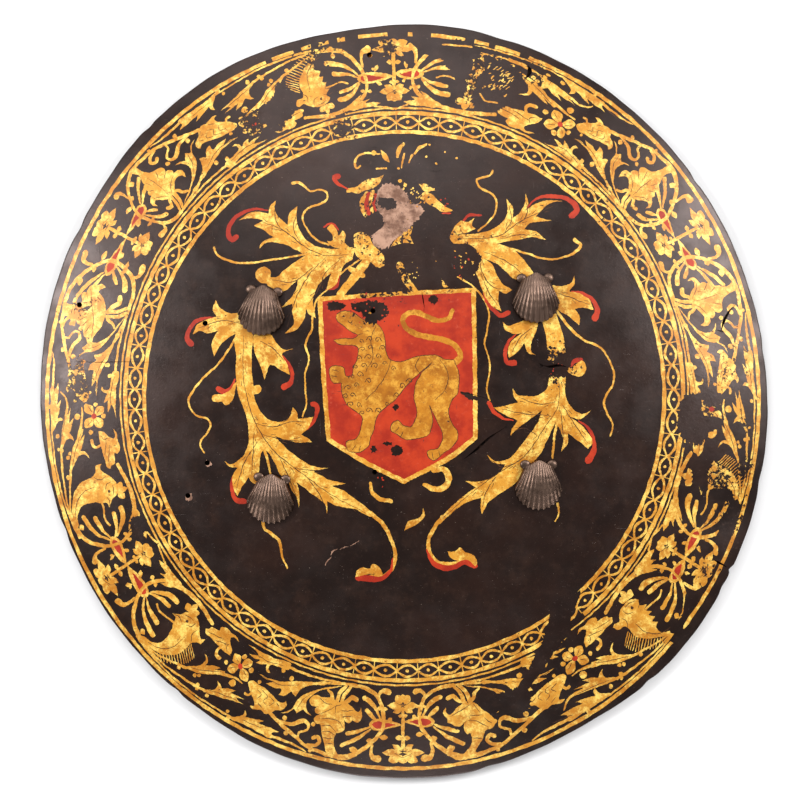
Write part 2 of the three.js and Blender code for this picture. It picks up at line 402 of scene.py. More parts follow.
BASE_LEAF = [(16, 3, TIP), (22, 3.9), (29, 4.4), (25.5, 8, TIP), (31, 6.6), (35, 7.4), (32.5, 12.4, TIP),
             (38, 9.5), (43, 5.5), (49, 2.3), (45, -0.6), (35, -0.4), (22, 0.4)]
CLUBS = [
    ([(33, 29), (42, 36.3), (52, 40), (58.5, 41.4)], 1.2, 2.4, 3.4, 3.6),
    ([(34, 27.5), (42, 30.8), (49, 32), (54, 32.8)], 1, 2, 3.2, 3.4),
    ([(43.5, 23.8), (47, 25.2), (53, 25.2), (58, 24), (63, 23.6)], 1.4, 1.2, 1.6),
    ([(33, 23.5), (38, 20.5), (45, 18.3), (51.5, 17.5)], 1.2, 2.2, 3.6, 3),
    ([(33, 22), (37, 17.5), (43, 13), (49, 11), (53.5, 11)], 1.2, 3, 4.2, 4),
]
NEAR_DROP = [(4, 26, TIP), (11, 28.7), (20, 30), (28, 30.2), (33, 28.6), (34.4, 26), (32.5, 23.4),
             (28, 21.9), (20, 21.8), (11, 23.4)]
NEAR_DROP_RED = [(11.5, 25.6, TIP), (18, 27), (25, 28.2), (30, 28), (31.3, 26), (29.5, 24), (24, 23.3),
                 (17, 24)]
NEAR_STRANDS = [
    ([(51, 49.5), (44, 47.5), (37, 42.5), (32, 36.5), (28.5, 31), (26.7, 26), (26.2, 20.5), (28.5, 14),
      (33, 8), (40, 3.5), (48, 1), (57, -0.4), (67, -0.6), (76, 0.6), (88, 3.8)], 3.2, 3, 2.6, 3.2, 3.2, 3,
     2.6),
    ([(28.3, 35), (28.4, 41), (26.8, 45), (22.5, 46.8)], 2, 2.4, 4.8),
    ([(5, -3.2), (13, -1.4), (22, 0.2)], 1.4),
]
# base, tip and width
NEAR_BUDS = [
    ((19, 30), (16.5, 35.4), 3), ((18, 31), (21, 33.4), 2.4), ((19, 21.8), (13.8, 19.6), 3),
    ((27, 15), (22.6, 14.2), 3.4), ((28, 14.5), (32.8, 16.4), 3), ((51, 48), (51.8, 43.6), 4.6),
]
NEAR_LINES = [
    [(58.5, 18.6), (63, 17.4), (67, 18.4)], [(84, 24), (80.5, 20), (81.5, 15)],
    [(72, 18), (76, 16), (77, 12)], [(60, 47.6), (70, 43.5), (76, 35), (77, 25)],
    [(66, 13), (70, 11.6), (74, 11.4)],
]
BRISTLES = 15


def near_end(dolphin=DOLPHIN, bristles=BRISTLES):
    panel = Pattern()
    panel.shape(GOLD, NEAR_DROP)
    panel.shape(RED, NEAR_DROP_RED)
    for points, *widths in NEAR_STRANDS:
        panel.line(GOLD, points, *widths)
    for base, tip, width in NEAR_BUDS:
        panel.petal(GOLD, base, tip, width, pointed=False)
    panel.shape(GOLD, BASE_LEAF)
    for points, *widths in CLUBS:
        panel.line(GOLD, points, *widths)
    panel.shape(GOLD, dolphin)
    for bristle in range(bristles):
        share = bristle/(BRISTLES - 1)
        base = (70 + 15*math.sin(share*1.5), 48 - 22.5*share**1.1)
        reach = 4.5 + 5.5*math.sin(share*1.7)
        panel.line(GOLD, [base, (base[0] + 0.8*reach, base[1] + 0.62*reach)], 0.75, 0.55)
    panel.ball(LINE, 70.3, 15.4, 1.2)
    for points in NEAR_LINES:
        panel.line(LINE, points, 0.3, 0.6, 0.3)
    panel.flower(GOLD, (67.5, 9.6), [(60, 5.6), (67.6, 0.9), (74, 4.2)], 5.2)
    return panel


print("near end:", len(near_end().shapes), "shapes")

# %% The middle of a panel: bells, rosette and long leaves
LONG_LEAVES = [
    [(139, 52.8), (150, 52), (160, 52.2), (172, 51.6), (171, 49), (175.5, 46.3, TIP), (168, 46),
     (158.6, 46.8, TIP), (162.5, 43.4, TIP), (155, 45), (148.8, 47, TIP), (149, 44.5), (146.8, 42.3, TIP),
     (146.5, 46), (143.5, 49)],
    [(112, 46.9), (120, 45.3), (130, 42.5), (137, 40.5), (144, 39.2, TIP), (138, 38.5),
     (136.5, 37.4, TIP), (142.5, 35.6, TIP), (136, 36.2), (130.5, 37, TIP), (134, 33.2, TIP), (128, 35),
     (124, 37.8, TIP), (121, 35.5), (118, 34.7, TIP), (120, 37), (119.5, 41), (115.5, 44)],
    [(90, 42.5), (98, 40.2), (107, 36.5), (114, 31.5), (121, 28), (119, 26, TIP), (114, 27.8),
     (111, 29.8, TIP), (115, 25.4, TIP), (109, 27.5), (104, 30.6, TIP), (103.5, 27.5), (100.5, 25),
     (97.5, 24.3, TIP), (101.5, 27.5), (101.5, 31), (99, 35), (94, 39)],
]
BELLS = [
    [(86.4, 9.6), (88, 12), (93, 12.3), (104, 13.5), (110, 14.2), (116, 14.2, TIP), (115, 10.5), (110, 6),
     (108.2, 3.4, TIP), (109.5, 1.9), (112.5, 1.7), (116, 2.4, TIP), (113, 0.3), (106, 0.3), (103, -0.5),
     (98, 0.2), (96, 2), (97, 4), (92, 5), (89, 6.3), (88.8, 8.2)],
    [(139, 24, TIP), (142, 27), (146, 30.5), (150, 33.5), (151.4, 36.2), (148, 37.8, TIP), (151, 39.2),
     (155, 38), (158, 37), (160.5, 38.2), (163.2, 37.5), (163, 35.4, TIP), (166, 35.2), (167.4, 33),
     (171, 31.6), (173.6, 29), (174, 26), (172.5, 24.2, TIP), (171, 26), (166, 25.5), (160, 23.5),
     (154, 22), (148, 21.2), (143, 20.8), (140, 22)],
]
STRANDS = [
    ([(51, 51), (66, 52.2), (85, 53), (100, 53), (115, 52.6), (130, 52), (141, 52)], 2, 1.4, 1.2, 1.4),
    ([(165, 51.4), (180, 50.9), (190, 51.4), (198, 53.6)], 2, 2, 1.6, 0.8),
    ([(51, 50.2), (66, 51), (85, 50), (95, 48.7), (107, 47.3), (114, 46.2)], 2, 1.3, 1.3, 1.6, 2),
    ([(51, 49.5), (66, 49.8), (78, 46.4), (85, 43.8), (93, 41.4)], 2, 1.3, 1.4, 2),
    ([(117, 29.2), (124, 26.8), (130, 25.8), (135.5, 26.2)], 2.4, 1.8, 1),
    ([(107.5, 11.8), (105.4, 14), (104.4, 17), (106, 19.6), (109.6, 20.3)], 1.4, 2, 2.2, 2.8),
    ([(141, 31.6), (143.8, 31.6), (145.4, 28.6), (145.2, 25)], 2, 1.8, 1.4),
    ([(162, 35.6), (170, 38.5), (180, 42.5), (190, 46.5), (199, 50), (206, 50.8)], 2.8, 2.6, 2.4, 2.6),
    ([(173, 38.8), (178, 38.6), (184, 37.3), (188, 34), (191.5, 32.6), (194.6, 34), (195.4, 37),
      (192.5, 40), (189.6, 41.6), (189.6, 45)], 1.6, 2.4, 3.2, 3, 2, 1.7, 1.6),
    ([(198, 48.4), (203.5, 47), (205.8, 43.6), (203, 41), (200.6, 42.6)], 1.8, 2.2, 2.6, 3),
]
CURLED_END = [(138, 38.8), (146, 38.4), (151.4, 40.6), (154.4, 44.2)]
MIDDLE_BALLS = [
    (107, 45.6, 1.4), (108.2, 48.4, 1.2), (117, 48, 1.6), (101.5, 41.5, 1.6), (104.2, 39.7, 1.4),
    (88.6, 44.6, 1.5), (138, 53.6, 1.5), (135.6, 49.4, 1.4), (116, 19.9, 1.7), (126.6, 9.2, 2),
    (128.6, 30, 2.6), (147.2, 19.4, 1.4), (180.6, 45.4, 1.7), (176, 35.6, 1.9), (198, 33.2, 1.7),
    (137, 15, 1.9), (200.6, 52, 1.2),
]
MIDDLE_LINES = [
    [(89, 10), (96, 9), (104, 7)], [(98, 11.6), (104, 10), (110, 8.6)],
    [(112, 13), (109, 10), (110, 7.6)], [(148, 25), (153, 27), (151, 30.5)],
    [(152, 24), (158, 26.5), (156, 30.5), (159.6, 32.4)], [(159, 25.6), (164, 28), (162, 31.6)],
    [(166, 27.6), (169, 29.4)], [(153, 33.6), (157, 35.4)], [(121, 22), (124.6, 19)],
    [(136, 20.6), (131, 18)], [(132.6, 12), (130, 14.4)], [(121, 12.8), (124.6, 15)],
    [(116, 44), (124, 41.6), (138, 39)], [(96, 39), (106, 34), (117, 27.4)], [(148, 49.6), (162, 48.6)],
]


def slid(points, way):
    """The same points, moved along the band."""
    return [(u + way, *rest) for u, *rest in points]


def middle_part(slides=(0, 0)):
    """Bells, rosette and leaves, the first two leaves slid along by the given millimetres."""
    panel = Pattern()
    moves = [0, slides[0], slides[1]] + [0]*len(STRANDS)
    for move, (points, *widths) in zip(moves, STRANDS):
        panel.line(GOLD, slid(points, move), *widths)
    for move, outline in zip([*slides, 0, 0, 0], LONG_LEAVES + BELLS):
        panel.shape(GOLD, slid(outline, move))
    if slides[1]:
        panel.line(GOLD, slid(CURLED_END, slides[1]), 2, 1.6, 0.9)
    panel.flower(GOLD, (127.5, 16.5), [(119.8, 24), (138, 23.4), (134.6, 8.8), (118.4, 11)], 7.2)
    panel.ball(RED, 127.5, 16.5, 2.1)
    for x, y, radius in MIDDLE_BALLS:
        panel.ball(GOLD, x, y, radius)
    for points in MIDDLE_LINES:
        panel.line(LINE, points, 0.3, 0.55, 0.3)
    return panel


print("middle:", len(middle_part().shapes), "shapes")

# %% The far end of a panel: three leaves and the second C-curve
FAR_LEAVES = [
    [(124, -0.3, TIP), (131, 0.8), (136, 2.4), (129, 5.6, TIP), (136, 5.8), (139.5, 5.4),
     (137.5, 8.7, TIP), (142.5, 7.3), (146, 5.6), (147, 8.6), (149.5, 10.6), (152, 10, TIP), (149.3, 8.3),
     (149, 5.6), (156, 3.4), (166, 1.6), (166, -0.8), (150, -0.9), (136, -0.5)],
    [(144, 14.2, TIP), (150, 15.2), (157, 15.2), (152.5, 18.2, TIP), (160, 18.3), (166, 17.5),
     (165.5, 21.8, TIP), (170, 20.5), (174, 15.8, TIP), (176, 17.5), (178.5, 18.5, TIP), (179.5, 15),
     (182, 11), (187, 7.5), (193, 5), (200, 3.2), (200, 2), (190, 4.2), (178, 6.8), (170, 9.8), (160, 13),
     (152, 14)],
    [(171.3, 33.2, TIP), (177, 31.2), (180.8, 27), (183.5, 29.3, TIP), (186, 26.5), (187.5, 25, TIP),
     (191, 27), (195.2, 27.8, TIP), (190.5, 25), (188.7, 21), (189, 17), (191.5, 13.5), (196, 9),
     (204, 5.5), (214, 1.5), (204, 4.2), (195, 8.3), (189, 11.5), (183.5, 16), (180.5, 21), (179.7, 26),
     (176.5, 30)],
]
FAR_STRANDS = [
    ([(164, 0.5), (190, 0.4), (210, -0.4), (222, -0.6)], 2, 1.5, 1.6),
    ([(196, 3.4), (206, 1.2), (217, -0.2)], 1.8, 1.6),
    ([(205, 50.5), (212, 51.6), (218, 51.8), (226, 50.3), (234, 46.5), (241, 41), (246.5, 35),
      (250.5, 29.5), (252, 24), (251.5, 18.5), (249.5, 12), (246, 6), (240, 2), (232, -0.2), (222, -0.6)],
     2.4, 3.2, 2.8, 2.8, 3, 3, 2.6),
    ([(244.6, 40), (243.8, 45), (245.5, 48.8), (249.6, 49.2)], 1.8, 2.6, 5),
    ([(246.6, 7), (247, 3), (250, 0.9), (255, 1.4)], 1.8, 2.6, 4.8),
    ([(242, 29), (232, 37), (222, 43)], 1, 2.8, 3),
    ([(241, 27.6), (232, 31.5), (224.5, 34.2)], 1.2, 2.8, 2.6),
    ([(245, 21.5), (241, 18.5), (237.5, 15.6)], 1.4, 3.2, 2.8),
    ([(249, 20.5), (245, 14), (240, 9.5), (234.4, 7.3)], 1.4, 2.4, 3.8, 3.8),
]
FAR_DROP = [(240.4, 25.6), (243, 28.5), (249, 29), (256, 27.4), (267, 24.4, TIP), (256, 21.6),
            (248, 20.8), (243, 22.2)]
FAR_DROP_RED = [(243, 25.6), (246, 27.6), (251, 27.4), (261.5, 24.6, TIP), (252, 23), (246, 23.2)]
FAR_BALLS = [(161.5, 4.2, 1.9), (170.6, 7.3, 2)]
FAR_BUDS = [
    ((235, 45.6), (228, 44), 4.4), ((246, 37.4), (239.6, 37), 4), ((249, 34), (255.6, 33.6), 3.6),
    ((250, 13), (246, 14), 2.6), ((250, 13), (255, 13.8), 2.6), ((254, 23.4), (258.4, 19.6), 3.4),
]
FAR_LINES = [
    [(148, 14.6), (164, 14.6), (178, 9.4)], [(183, 27), (184.4, 20), (190, 12.6)], [(130, 2.4),
                                                                                    (144, 3.4), (160, 1)],
]


def far_end():
    panel = Pattern()
    panel.shape(GOLD, FAR_DROP)
    panel.shape(RED, FAR_DROP_RED)
    for points, *widths in FAR_STRANDS:
        panel.line(GOLD, points, *widths)
    for outline in FAR_LEAVES:
        panel.shape(GOLD, outline)
    for x, y, radius in FAR_BALLS:
        panel.ball(GOLD, x, y, radius)
    for base, tip, width in FAR_BUDS:
        panel.petal(GOLD, base, tip, width, pointed=False)
    for points in FAR_LINES:
        panel.line(LINE, points, 0.3, 0.5, 0.3)
    return panel


print("far end:", len(far_end().shapes), "shapes")

# %% Four kinds of flower at the far end
TULIP = [(215.5, 50), (214.5, 45), (212, 39.5), (208, 37), (204, 35.6), (202.4, 32.6), (204, 30, TIP),
         (201, 28.6), (199.5, 26), (200.6, 24.4, TIP), (196.5, 24), (194.4, 21.5), (194.6, 18),
         (195.8, 15.2, TIP), (197.6, 18.4), (201, 20), (205, 18.6), (209, 15.4), (214, 13), (219, 13.2),
         (224, 16), (227, 19.4), (230.4, 21), (233, 19.6), (233.6, 16.4, TIP), (235.4, 19.6),
         (234.6, 22.6), (231, 25), (228.6, 26, TIP), (229, 28.6), (226.6, 30.4, TIP), (227, 33),
         (225.6, 35.4), (223.4, 36, TIP), (222.6, 39), (220.6, 42), (220, 46), (222, 50)]
BANDED = [(213, 51), (209, 44), (206, 38.5), (204.3, 33), (203.5, 31.8, TIP), (200, 32), (197.5, 29.5),
          (199, 26.5), (202, 24, TIP), (199, 25), (196.5, 23.5), (197, 21), (198, 20.3, TIP), (193, 20.5),
          (190.3, 18), (191.5, 14.5), (194, 12.7), (200, 12.5), (207, 11.8), (213, 13.2), (219, 12.8),
          (225, 14.5), (229, 17.5), (231.5, 17.3), (232.7, 14.3, TIP), (234, 19), (234, 22.5),
          (232, 25.2), (229.5, 25.3), (227, 24, TIP), (225.5, 26.2), (222.5, 26), (221, 25, TIP),
          (222, 29), (221.5, 33), (219, 34.5), (216.3, 35.3, TIP), (215.5, 39), (216.5, 43.5), (219, 48),
          (222, 51.5)]
BENT = [(216, 50), (212, 46), (208, 41.5), (205, 37.5), (201, 37.2), (198, 35), (198, 31), (200.5, 27),
        (203.5, 23), (207, 18.5), (210, 15.5), (214, 15.5), (218, 15.7), (222, 17.5), (226, 20.5),
        (229.5, 21.8), (231, 19.5), (230.8, 16, TIP), (233.3, 19), (233, 22), (230.5, 24.5, TIP),
        (231, 27), (228.5, 28.5), (226, 30.3), (222.5, 31), (219.5, 29.5), (217, 27.6, TIP), (219.5, 31),
        (219.8, 35), (218, 37.3), (215.8, 36.5, TIP), (215.3, 40), (217, 44.5), (221, 48), (226, 51)]
WIDE = [(185.4, 18.5, TIP), (184.4, 21.5), (188, 24), (192, 25, TIP), (192, 28.5), (195, 30),
        (197.6, 31, TIP), (198.1, 33.5), (201, 34.2, TIP), (201.6, 36.5), (204.5, 38.7, TIP),
        (199.4, 38.5, TIP), (200, 41.5), (204.5, 44), (207, 51), (215, 51), (214.8, 45.5), (219.5, 45),
        (221.5, 41.5, TIP), (217, 42), (215, 38.5), (219, 38), (223, 40), (225, 38.5), (225, 36, TIP),
        (228.6, 36), (231.3, 33.5), (231.3, 30.5), (233.5, 27.5), (234, 25), (232.7, 22.5, TIP),
        (231, 25), (228.6, 27), (226.4, 24.5), (224, 21), (219.7, 18), (215, 16.5), (209, 16.3),
        (202, 17), (196, 20), (191, 22), (187.5, 21.5)]
HOOKS = [
    ([(212, 15), (208.4, 12.4), (206.6, 8.6), (203, 6.6)], 2.6, 2.8, 1.6),
    ([(215, 15), (220.6, 12), (224, 8.2), (228.4, 9.2)], 2.8, 3.2, 3.4),
    ([(212, 14), (213.6, 6), (218, 0.6)], 3, 3, 2.4),
    ([(216, 14), (217.6, 7), (222, 0.6)], 3, 3, 2.4),
]
TAIL_FLICK = ([(216, 50.6), (221, 52), (227, 51.6), (233.6, 48.4)], 3, 2.6, 1.4)
TULIP_LINES = [[(213, 15), (207, 21), (202, 23)], [(216, 15), (215.4, 26), (216, 36)],
               [(218, 15), (224, 20), (230, 23)], [(204, 30), (208, 27)], [(226.6, 30.4), (222, 27)],
               [(208, 36), (211, 30)], [(222, 36), (219.6, 31)]]
BANDED_LINES = [[(210, 44), (216, 43.4)], [(207.6, 40.4), (215.4, 39.8)],
                [(206, 36.6), (211, 35.4), (215.6, 37)], [(204.6, 32.4), (209, 31), (216.4, 34.6)],
                [(203, 28), (210, 26), (218, 27.6), (221, 31)], [(202, 24), (208, 20), (213, 16)],
                [(198, 13.6), (203, 16.4), (209, 15.6)], [(213, 21), (212.4, 17), (216, 15)],
                [(217, 18.4), (221, 18.6), (227, 17)], [(219, 23), (226, 21.6)]]
BENT_LINES = [[(209, 42), (215, 40.6)], [(203, 36), (210, 30), (216, 28)], [(205, 26.6), (214, 24.6)],
              [(212, 17), (220, 20), (228, 23)], [(210, 17), (206, 25)], [(200, 34), (204, 29)]]
WIDE_LINES = [[(190, 23), (204, 24), (216, 28), (228, 34)], [(200, 33), (206, 28)],
              [(204, 37), (209, 30)], [(212, 37), (213, 30)], [(196, 29), (202, 26)],
              [(208, 44), (214, 44)], [(222, 22), (224, 27)], [(218, 37), (219, 33)]]


def far_flower(outline, lines, tailed):
    panel = Pattern()
    for points, *widths in HOOKS:
        panel.line(GOLD, points, *widths)
    if tailed:
        panel.line(GOLD, TAIL_FLICK[0], *TAIL_FLICK[1:])
    panel.shape(GOLD, outline)
    for points in lines:
        panel.line(LINE, points, 0.3, 0.6, 0.3)
    return panel


FAR_FLOWERS = {(240, -1): far_flower(BANDED, BANDED_LINES, True),
               (120, 1): far_flower(BENT, BENT_LINES, True),
               (240, 1): far_flower(WIDE, WIDE_LINES, False)}
print("flowers ready, the tulip has", len(TULIP), "points")

# %% Six panels round the shield
SLIDES = {(0, 1): (-24, -13), (120, 1): (-20, -3), (240, 1): (-20, -6)}
for start, way, turns, lifts in PANELS:
    bend = panel_bend(start, way, turns, lifts)
    key = (start, way)
    flower = FAR_FLOWERS.get(key) or far_flower(TULIP, TULIP_LINES, False)
    near = near_end(SPINY if key in [(120, 1), (360, -1)] else DOLPHIN, 0 if key == (240, 1) else BRISTLES)
    for part in (near, middle_part(SLIDES.get(key, (0, 0))), far_end(), flower):
        painting.add(part, bend)
for axis in AXES:
    painting.add(axis_stem(), lambda outline: on_border(axis + outline[:, 0]*DEGREES, outline[:, 1]))
print("with the border:", len(painting.shapes), "shapes")

# %% [markdown]
# ## The leafy mantling
# Two sprays of gilt leaves with red, curled tips hang down both sides of the coat of arms. The painter
# drew them freehand and the two sides differ, so each side has its own outlines. An outline keeps only
# the points that its lobes need, tips and notches marked, and thin dark veins are drawn on top.

# %% The left spray
LEFT_LEAVES = [
    [(-39, 118), (-53, 118), (-65, 119), (-74, 123), (-81, 132), (-84, 141), (-83, 151, TIP), (-89, 146),
     (-91, 137, TIP), (-98, 143), (-101, 150), (-100, 156, TIP), (-104, 152), (-106, 145, TIP),
     (-112, 147), (-120, 146), (-129, 140, TIP), (-120, 142), (-113, 141), (-110, 140, TIP),
     (-117, 136, TIP), (-110, 133), (-105, 129), (-101, 127, TIP), (-108, 125), (-112, 122),
     (-113, 118, TIP), (-109, 122), (-101, 123), (-92, 121), (-84, 117), (-77, 113, TIP), (-85, 108),
     (-94, 101), (-100, 96), (-104, 96, TIP), (-104, 101), (-108, 104), (-114, 102), (-116, 97),
     (-113, 92), (-107, 91, TIP), (-106, 89, TIP), (-100, 86), (-93, 85), (-87, 90), (-83, 94, TIP),
     (-84, 87), (-89, 79), (-96, 72, TIP), (-90, 74), (-87, 75, TIP), (-87, 68), (-86, 60),
     (-93, 52, TIP), (-85, 54), (-79, 61), (-76, 71, TIP), (-74, 67), (-69, 64, TIP), (-71, 74),
     (-70, 83), (-65, 92), (-57, 99, TIP), (-59, 92), (-61, 85, TIP), (-54, 89), (-50, 98, TIP),
     (-47, 105), (-40, 110, TIP)],
    [(-53, 119), (-59, 122), (-60, 124, TIP), (-56, 124), (-56, 129), (-60, 134), (-57, 137), (-52, 132),
     (-51, 128, TIP), (-50, 129), (-48, 132, TIP), (-46, 130), (-46, 123), (-39, 117, TIP)],
    [(-38, 130), (-34, 131), (-27, 128), (-25, 123), (-21, 118), (-16, 113), (-15, 105, TIP), (-20, 103),
     (-26, 108), (-34, 110), (-38, 114), (-39, 123)],
    [(-125, 67), (-136, 68), (-144, 72), (-147, 78, TIP), (-149, 70), (-146, 65, TIP), (-153, 63),
     (-161, 59), (-165, 51, TIP), (-159, 54), (-153, 52), (-145, 54, TIP), (-150, 45), (-148, 34, TIP),
     (-144, 42), (-136, 49), (-129, 53, TIP)],
    [(-117, 51), (-104, 51), (-99, 44), (-93, 39), (-86, 40, TIP), (-95, 36), (-91, 28), (-89, 20, TIP),
     (-94, 22), (-101, 27, TIP), (-105, 27), (-107, 21), (-109, 16, TIP), (-112, 27), (-116, 36),
     (-118, 45, TIP)],
    [(-131, 53), (-131, 33), (-131, 15), (-129, 4), (-125, -7), (-122, -18), (-121, -28), (-122, -36),
     (-124, -41), (-129, -47), (-135, -50), (-140, -48, TIP), (-136, -52), (-130, -53, TIP), (-134, -60),
     (-133, -69), (-130, -75, TIP), (-126, -67), (-121, -60, TIP), (-119, -64), (-114, -67, TIP),
     (-113, -57), (-111, -41), (-109, -38, TIP), (-106, -41), (-101, -49), (-96, -59), (-90, -63, TIP),
     (-89, -68), (-84, -76), (-82, -84, TIP), (-82, -70), (-84, -64, TIP), (-76, -70), (-68, -76),
     (-62, -81), (-60, -89, TIP), (-60, -79, TIP), (-51, -83), (-39, -85), (-27, -91, TIP),
     (-22, -92, TIP), (-27, -86), (-37, -78), (-47, -71), (-56, -67, TIP), (-45, -65, TIP), (-56, -63),
     (-65, -59), (-71, -55, TIP), (-59, -53, TIP), (-70, -52), (-78, -48), (-88, -41), (-96, -33),
     (-101, -28, TIP), (-92, -31), (-83, -33), (-72, -33, TIP), (-76, -29), (-80, -27, TIP), (-74, -21),
     (-71, -13, TIP), (-77, -14), (-83, -15, TIP), (-84, -9), (-87, -6, TIP), (-89, -13), (-96, -17),
     (-104, -16), (-111, -10), (-116, 0), (-118, 15), (-119, 33), (-118, 46), (-118, 53, TIP), (-124, 61)],
    [(-131, 14), (-132, 6), (-134, 0), (-137, -3.4), (-140.4, -3.6), (-142, -1.4, TIP), (-146, -1.6),
     (-149.6, 0), (-149.4, 3.2), (-146, 4.4), (-142, 4.6), (-137, 7)],
    [(-119, 10), (-112, 11), (-111, 8), (-114, 5), (-119, 5)],
    [(-17, -136), (-21, -129), (-25, -128), (-26, -131), (-33, -131), (-37, -134), (-38, -138, TIP),
     (-28, -136)],
]
LEFT_TENDRILS = [
    ([(-77, 114), (-86, 112), (-100, 110), (-112, 108), (-129, 107), (-140, 110), (-147, 115), (-148, 119)],
     1.3, 1.6, 1.8),
    ([(-59, 121), (-68, 125), (-76, 134), (-79, 142), (-77, 148), (-72, 151), (-65, 153), (-60, 157),
      (-60, 162), (-66, 164), (-73, 163), (-77, 166), (-83, 170), (-87, 169)], 1.6, 1.3, 1.8, 1.3, 2.2),
    ([(-34, 110), (-49, 99), (-60, 86), (-68, 78), (-71, 67), (-72, 55), (-77, 43), (-74, 33), (-77, 21),
      (-77, 8), (-76, -1), (-79, -13)], 1.6, 1.2, 1.6, 1.2, 1.2),
    ([(-130, 51), (-137, 39), (-146, 27), (-155, 19), (-164, 8), (-168, 0), (-166, -8), (-160, -13),
      (-153, -15), (-151, -20), (-153, -25), (-158, -31), (-159, -36), (-156, -41)], 1.8, 1.4, 1.8, 1.4,
     1.4),
    ([(-110, -95), (-109, -100), (-104, -104), (-98, -109), (-96, -115), (-95, -122), (-91, -131)], 2.6, 2,
     1.4),
    ([(-109, -39), (-106, -48), (-104, -59)], 2, 1.6),
    ([(-27, -88), (-17, -96), (-10, -109), (-7, -119), (-9, -131), (-15, -137), (-26, -138)], 3.4, 3, 2.8,
     3),
    ([(-26, -65), (-25, -72), (-19, -77), (-10, -79)], 2.4, 3.6, 3),
]
LEFT_RED = [
    ([(-106, 148), (-115, 149), (-124, 147), (-132, 142), (-136, 136), (-137, 129), (-134, 125),
      (-131, 127)], 0.8, 2.8, 3.4, 4.6),
    ([(-147, 64), (-155, 64), (-163, 61), (-168, 54), (-169, 47), (-166, 44)], 0.8, 2.8, 3, 5),
    ([(-96, 36), (-90, 28), (-87, 20), (-89, 13), (-94, 10)], 0.8, 2.6, 3, 4.6),
    ([(-61, 86), (-54, 88), (-50, 97)], 1, 3.2, 1),
    ([(-62, 135), (-60, 137), (-55, 137), (-51, 133)], 1.4, 2.2, 1),
    ([(-130, -54), (-134, -62), (-134, -70), (-131, -78), (-125, -79)], 0.8, 2.6, 3, 4.8),
    ([(-81, -26), (-73, -20), (-68, -10), (-68, -5), (-71, -3)], 0.8, 2.4, 2.8, 4),
    ([(-132, 16), (-135, 9.5), (-140, 6.6), (-144.8, 8.4)], 1, 3, 4.8),
    ([(-8.6, -124), (-11, -134), (-18, -139.4), (-27, -139.4), (-35.6, -138.6)], 1, 3, 4.6, 5.2),
]
LEFT_VEINS = [
    [(-42, 114), (-62, 113), (-78, 120), (-92, 131), (-118, 142)],
    [(-80, 121), (-86, 133), (-84, 146)],
    [(-90, 129), (-99, 138), (-101, 151)],
    [(-60, 112), (-72, 100), (-84, 80), (-91, 57)],
    [(-70, 104), (-88, 92), (-103, 94)],
    [(-50, 110), (-62, 98), (-66, 88), (-75, 74)],
    [(-125, 50), (-125, 15), (-119, -10), (-112, -25), (-100, -41), (-80, -57), (-55, -75), (-30, -88)],
    [(-116, -18), (-104, -21), (-88, -17), (-76, -17)],
    [(-110, -27), (-95, -31), (-78, -32)],
    [(-117, -25), (-118, -45), (-119, -58)],
    [(-114, -32), (-125, -50), (-131, -70)],
    [(-98, -43), (-90, -60), (-84, -76)],
    [(-75, -61), (-66, -74), (-61, -84)],
    [(-85, -53), (-70, -55), (-62, -54)],
    [(-128, 60), (-142, 62), (-160, 56)],
    [(-112, 46), (-102, 40), (-93, 30)],
]
# hatching on both sides of a vein, counted in points along it
HATCH_INSET = 3
HATCH_STEP = 5
HATCH_LEAN = 0.45


def spray(leaves, tendrils, red, veins):
    """Paints one side of the mantling, leaves under their red tips and veins on top."""
    side = Pattern()
    for points, *widths in tendrils:
        side.line(GOLD, points, *widths)
    for points, *widths in red:
        side.line(RED, points, *widths)
    for outline in leaves:
        side.shape(GOLD, outline)
    for vein in veins:
        side.line(LINE, vein, 0.3, 0.7, 0.3)
        route = smooth(vein, step=2)
        for spot in range(HATCH_INSET, len(route) - HATCH_INSET, HATCH_STEP):
            ahead = route[spot + 2] - route[spot]
            aside = np.array([-ahead[1], ahead[0]])*(HATCH_LEAN if spot % 2 else -HATCH_LEAN)
            side.line(LINE, [tuple(route[spot] + aside*0.9), tuple(route[spot] + ahead + aside*1.5)], 0.4)
    painting.add(side)
    return len(side.shapes)


print("left spray:", spray(LEFT_LEAVES, LEFT_TENDRILS, LEFT_RED, LEFT_VEINS), "shapes")

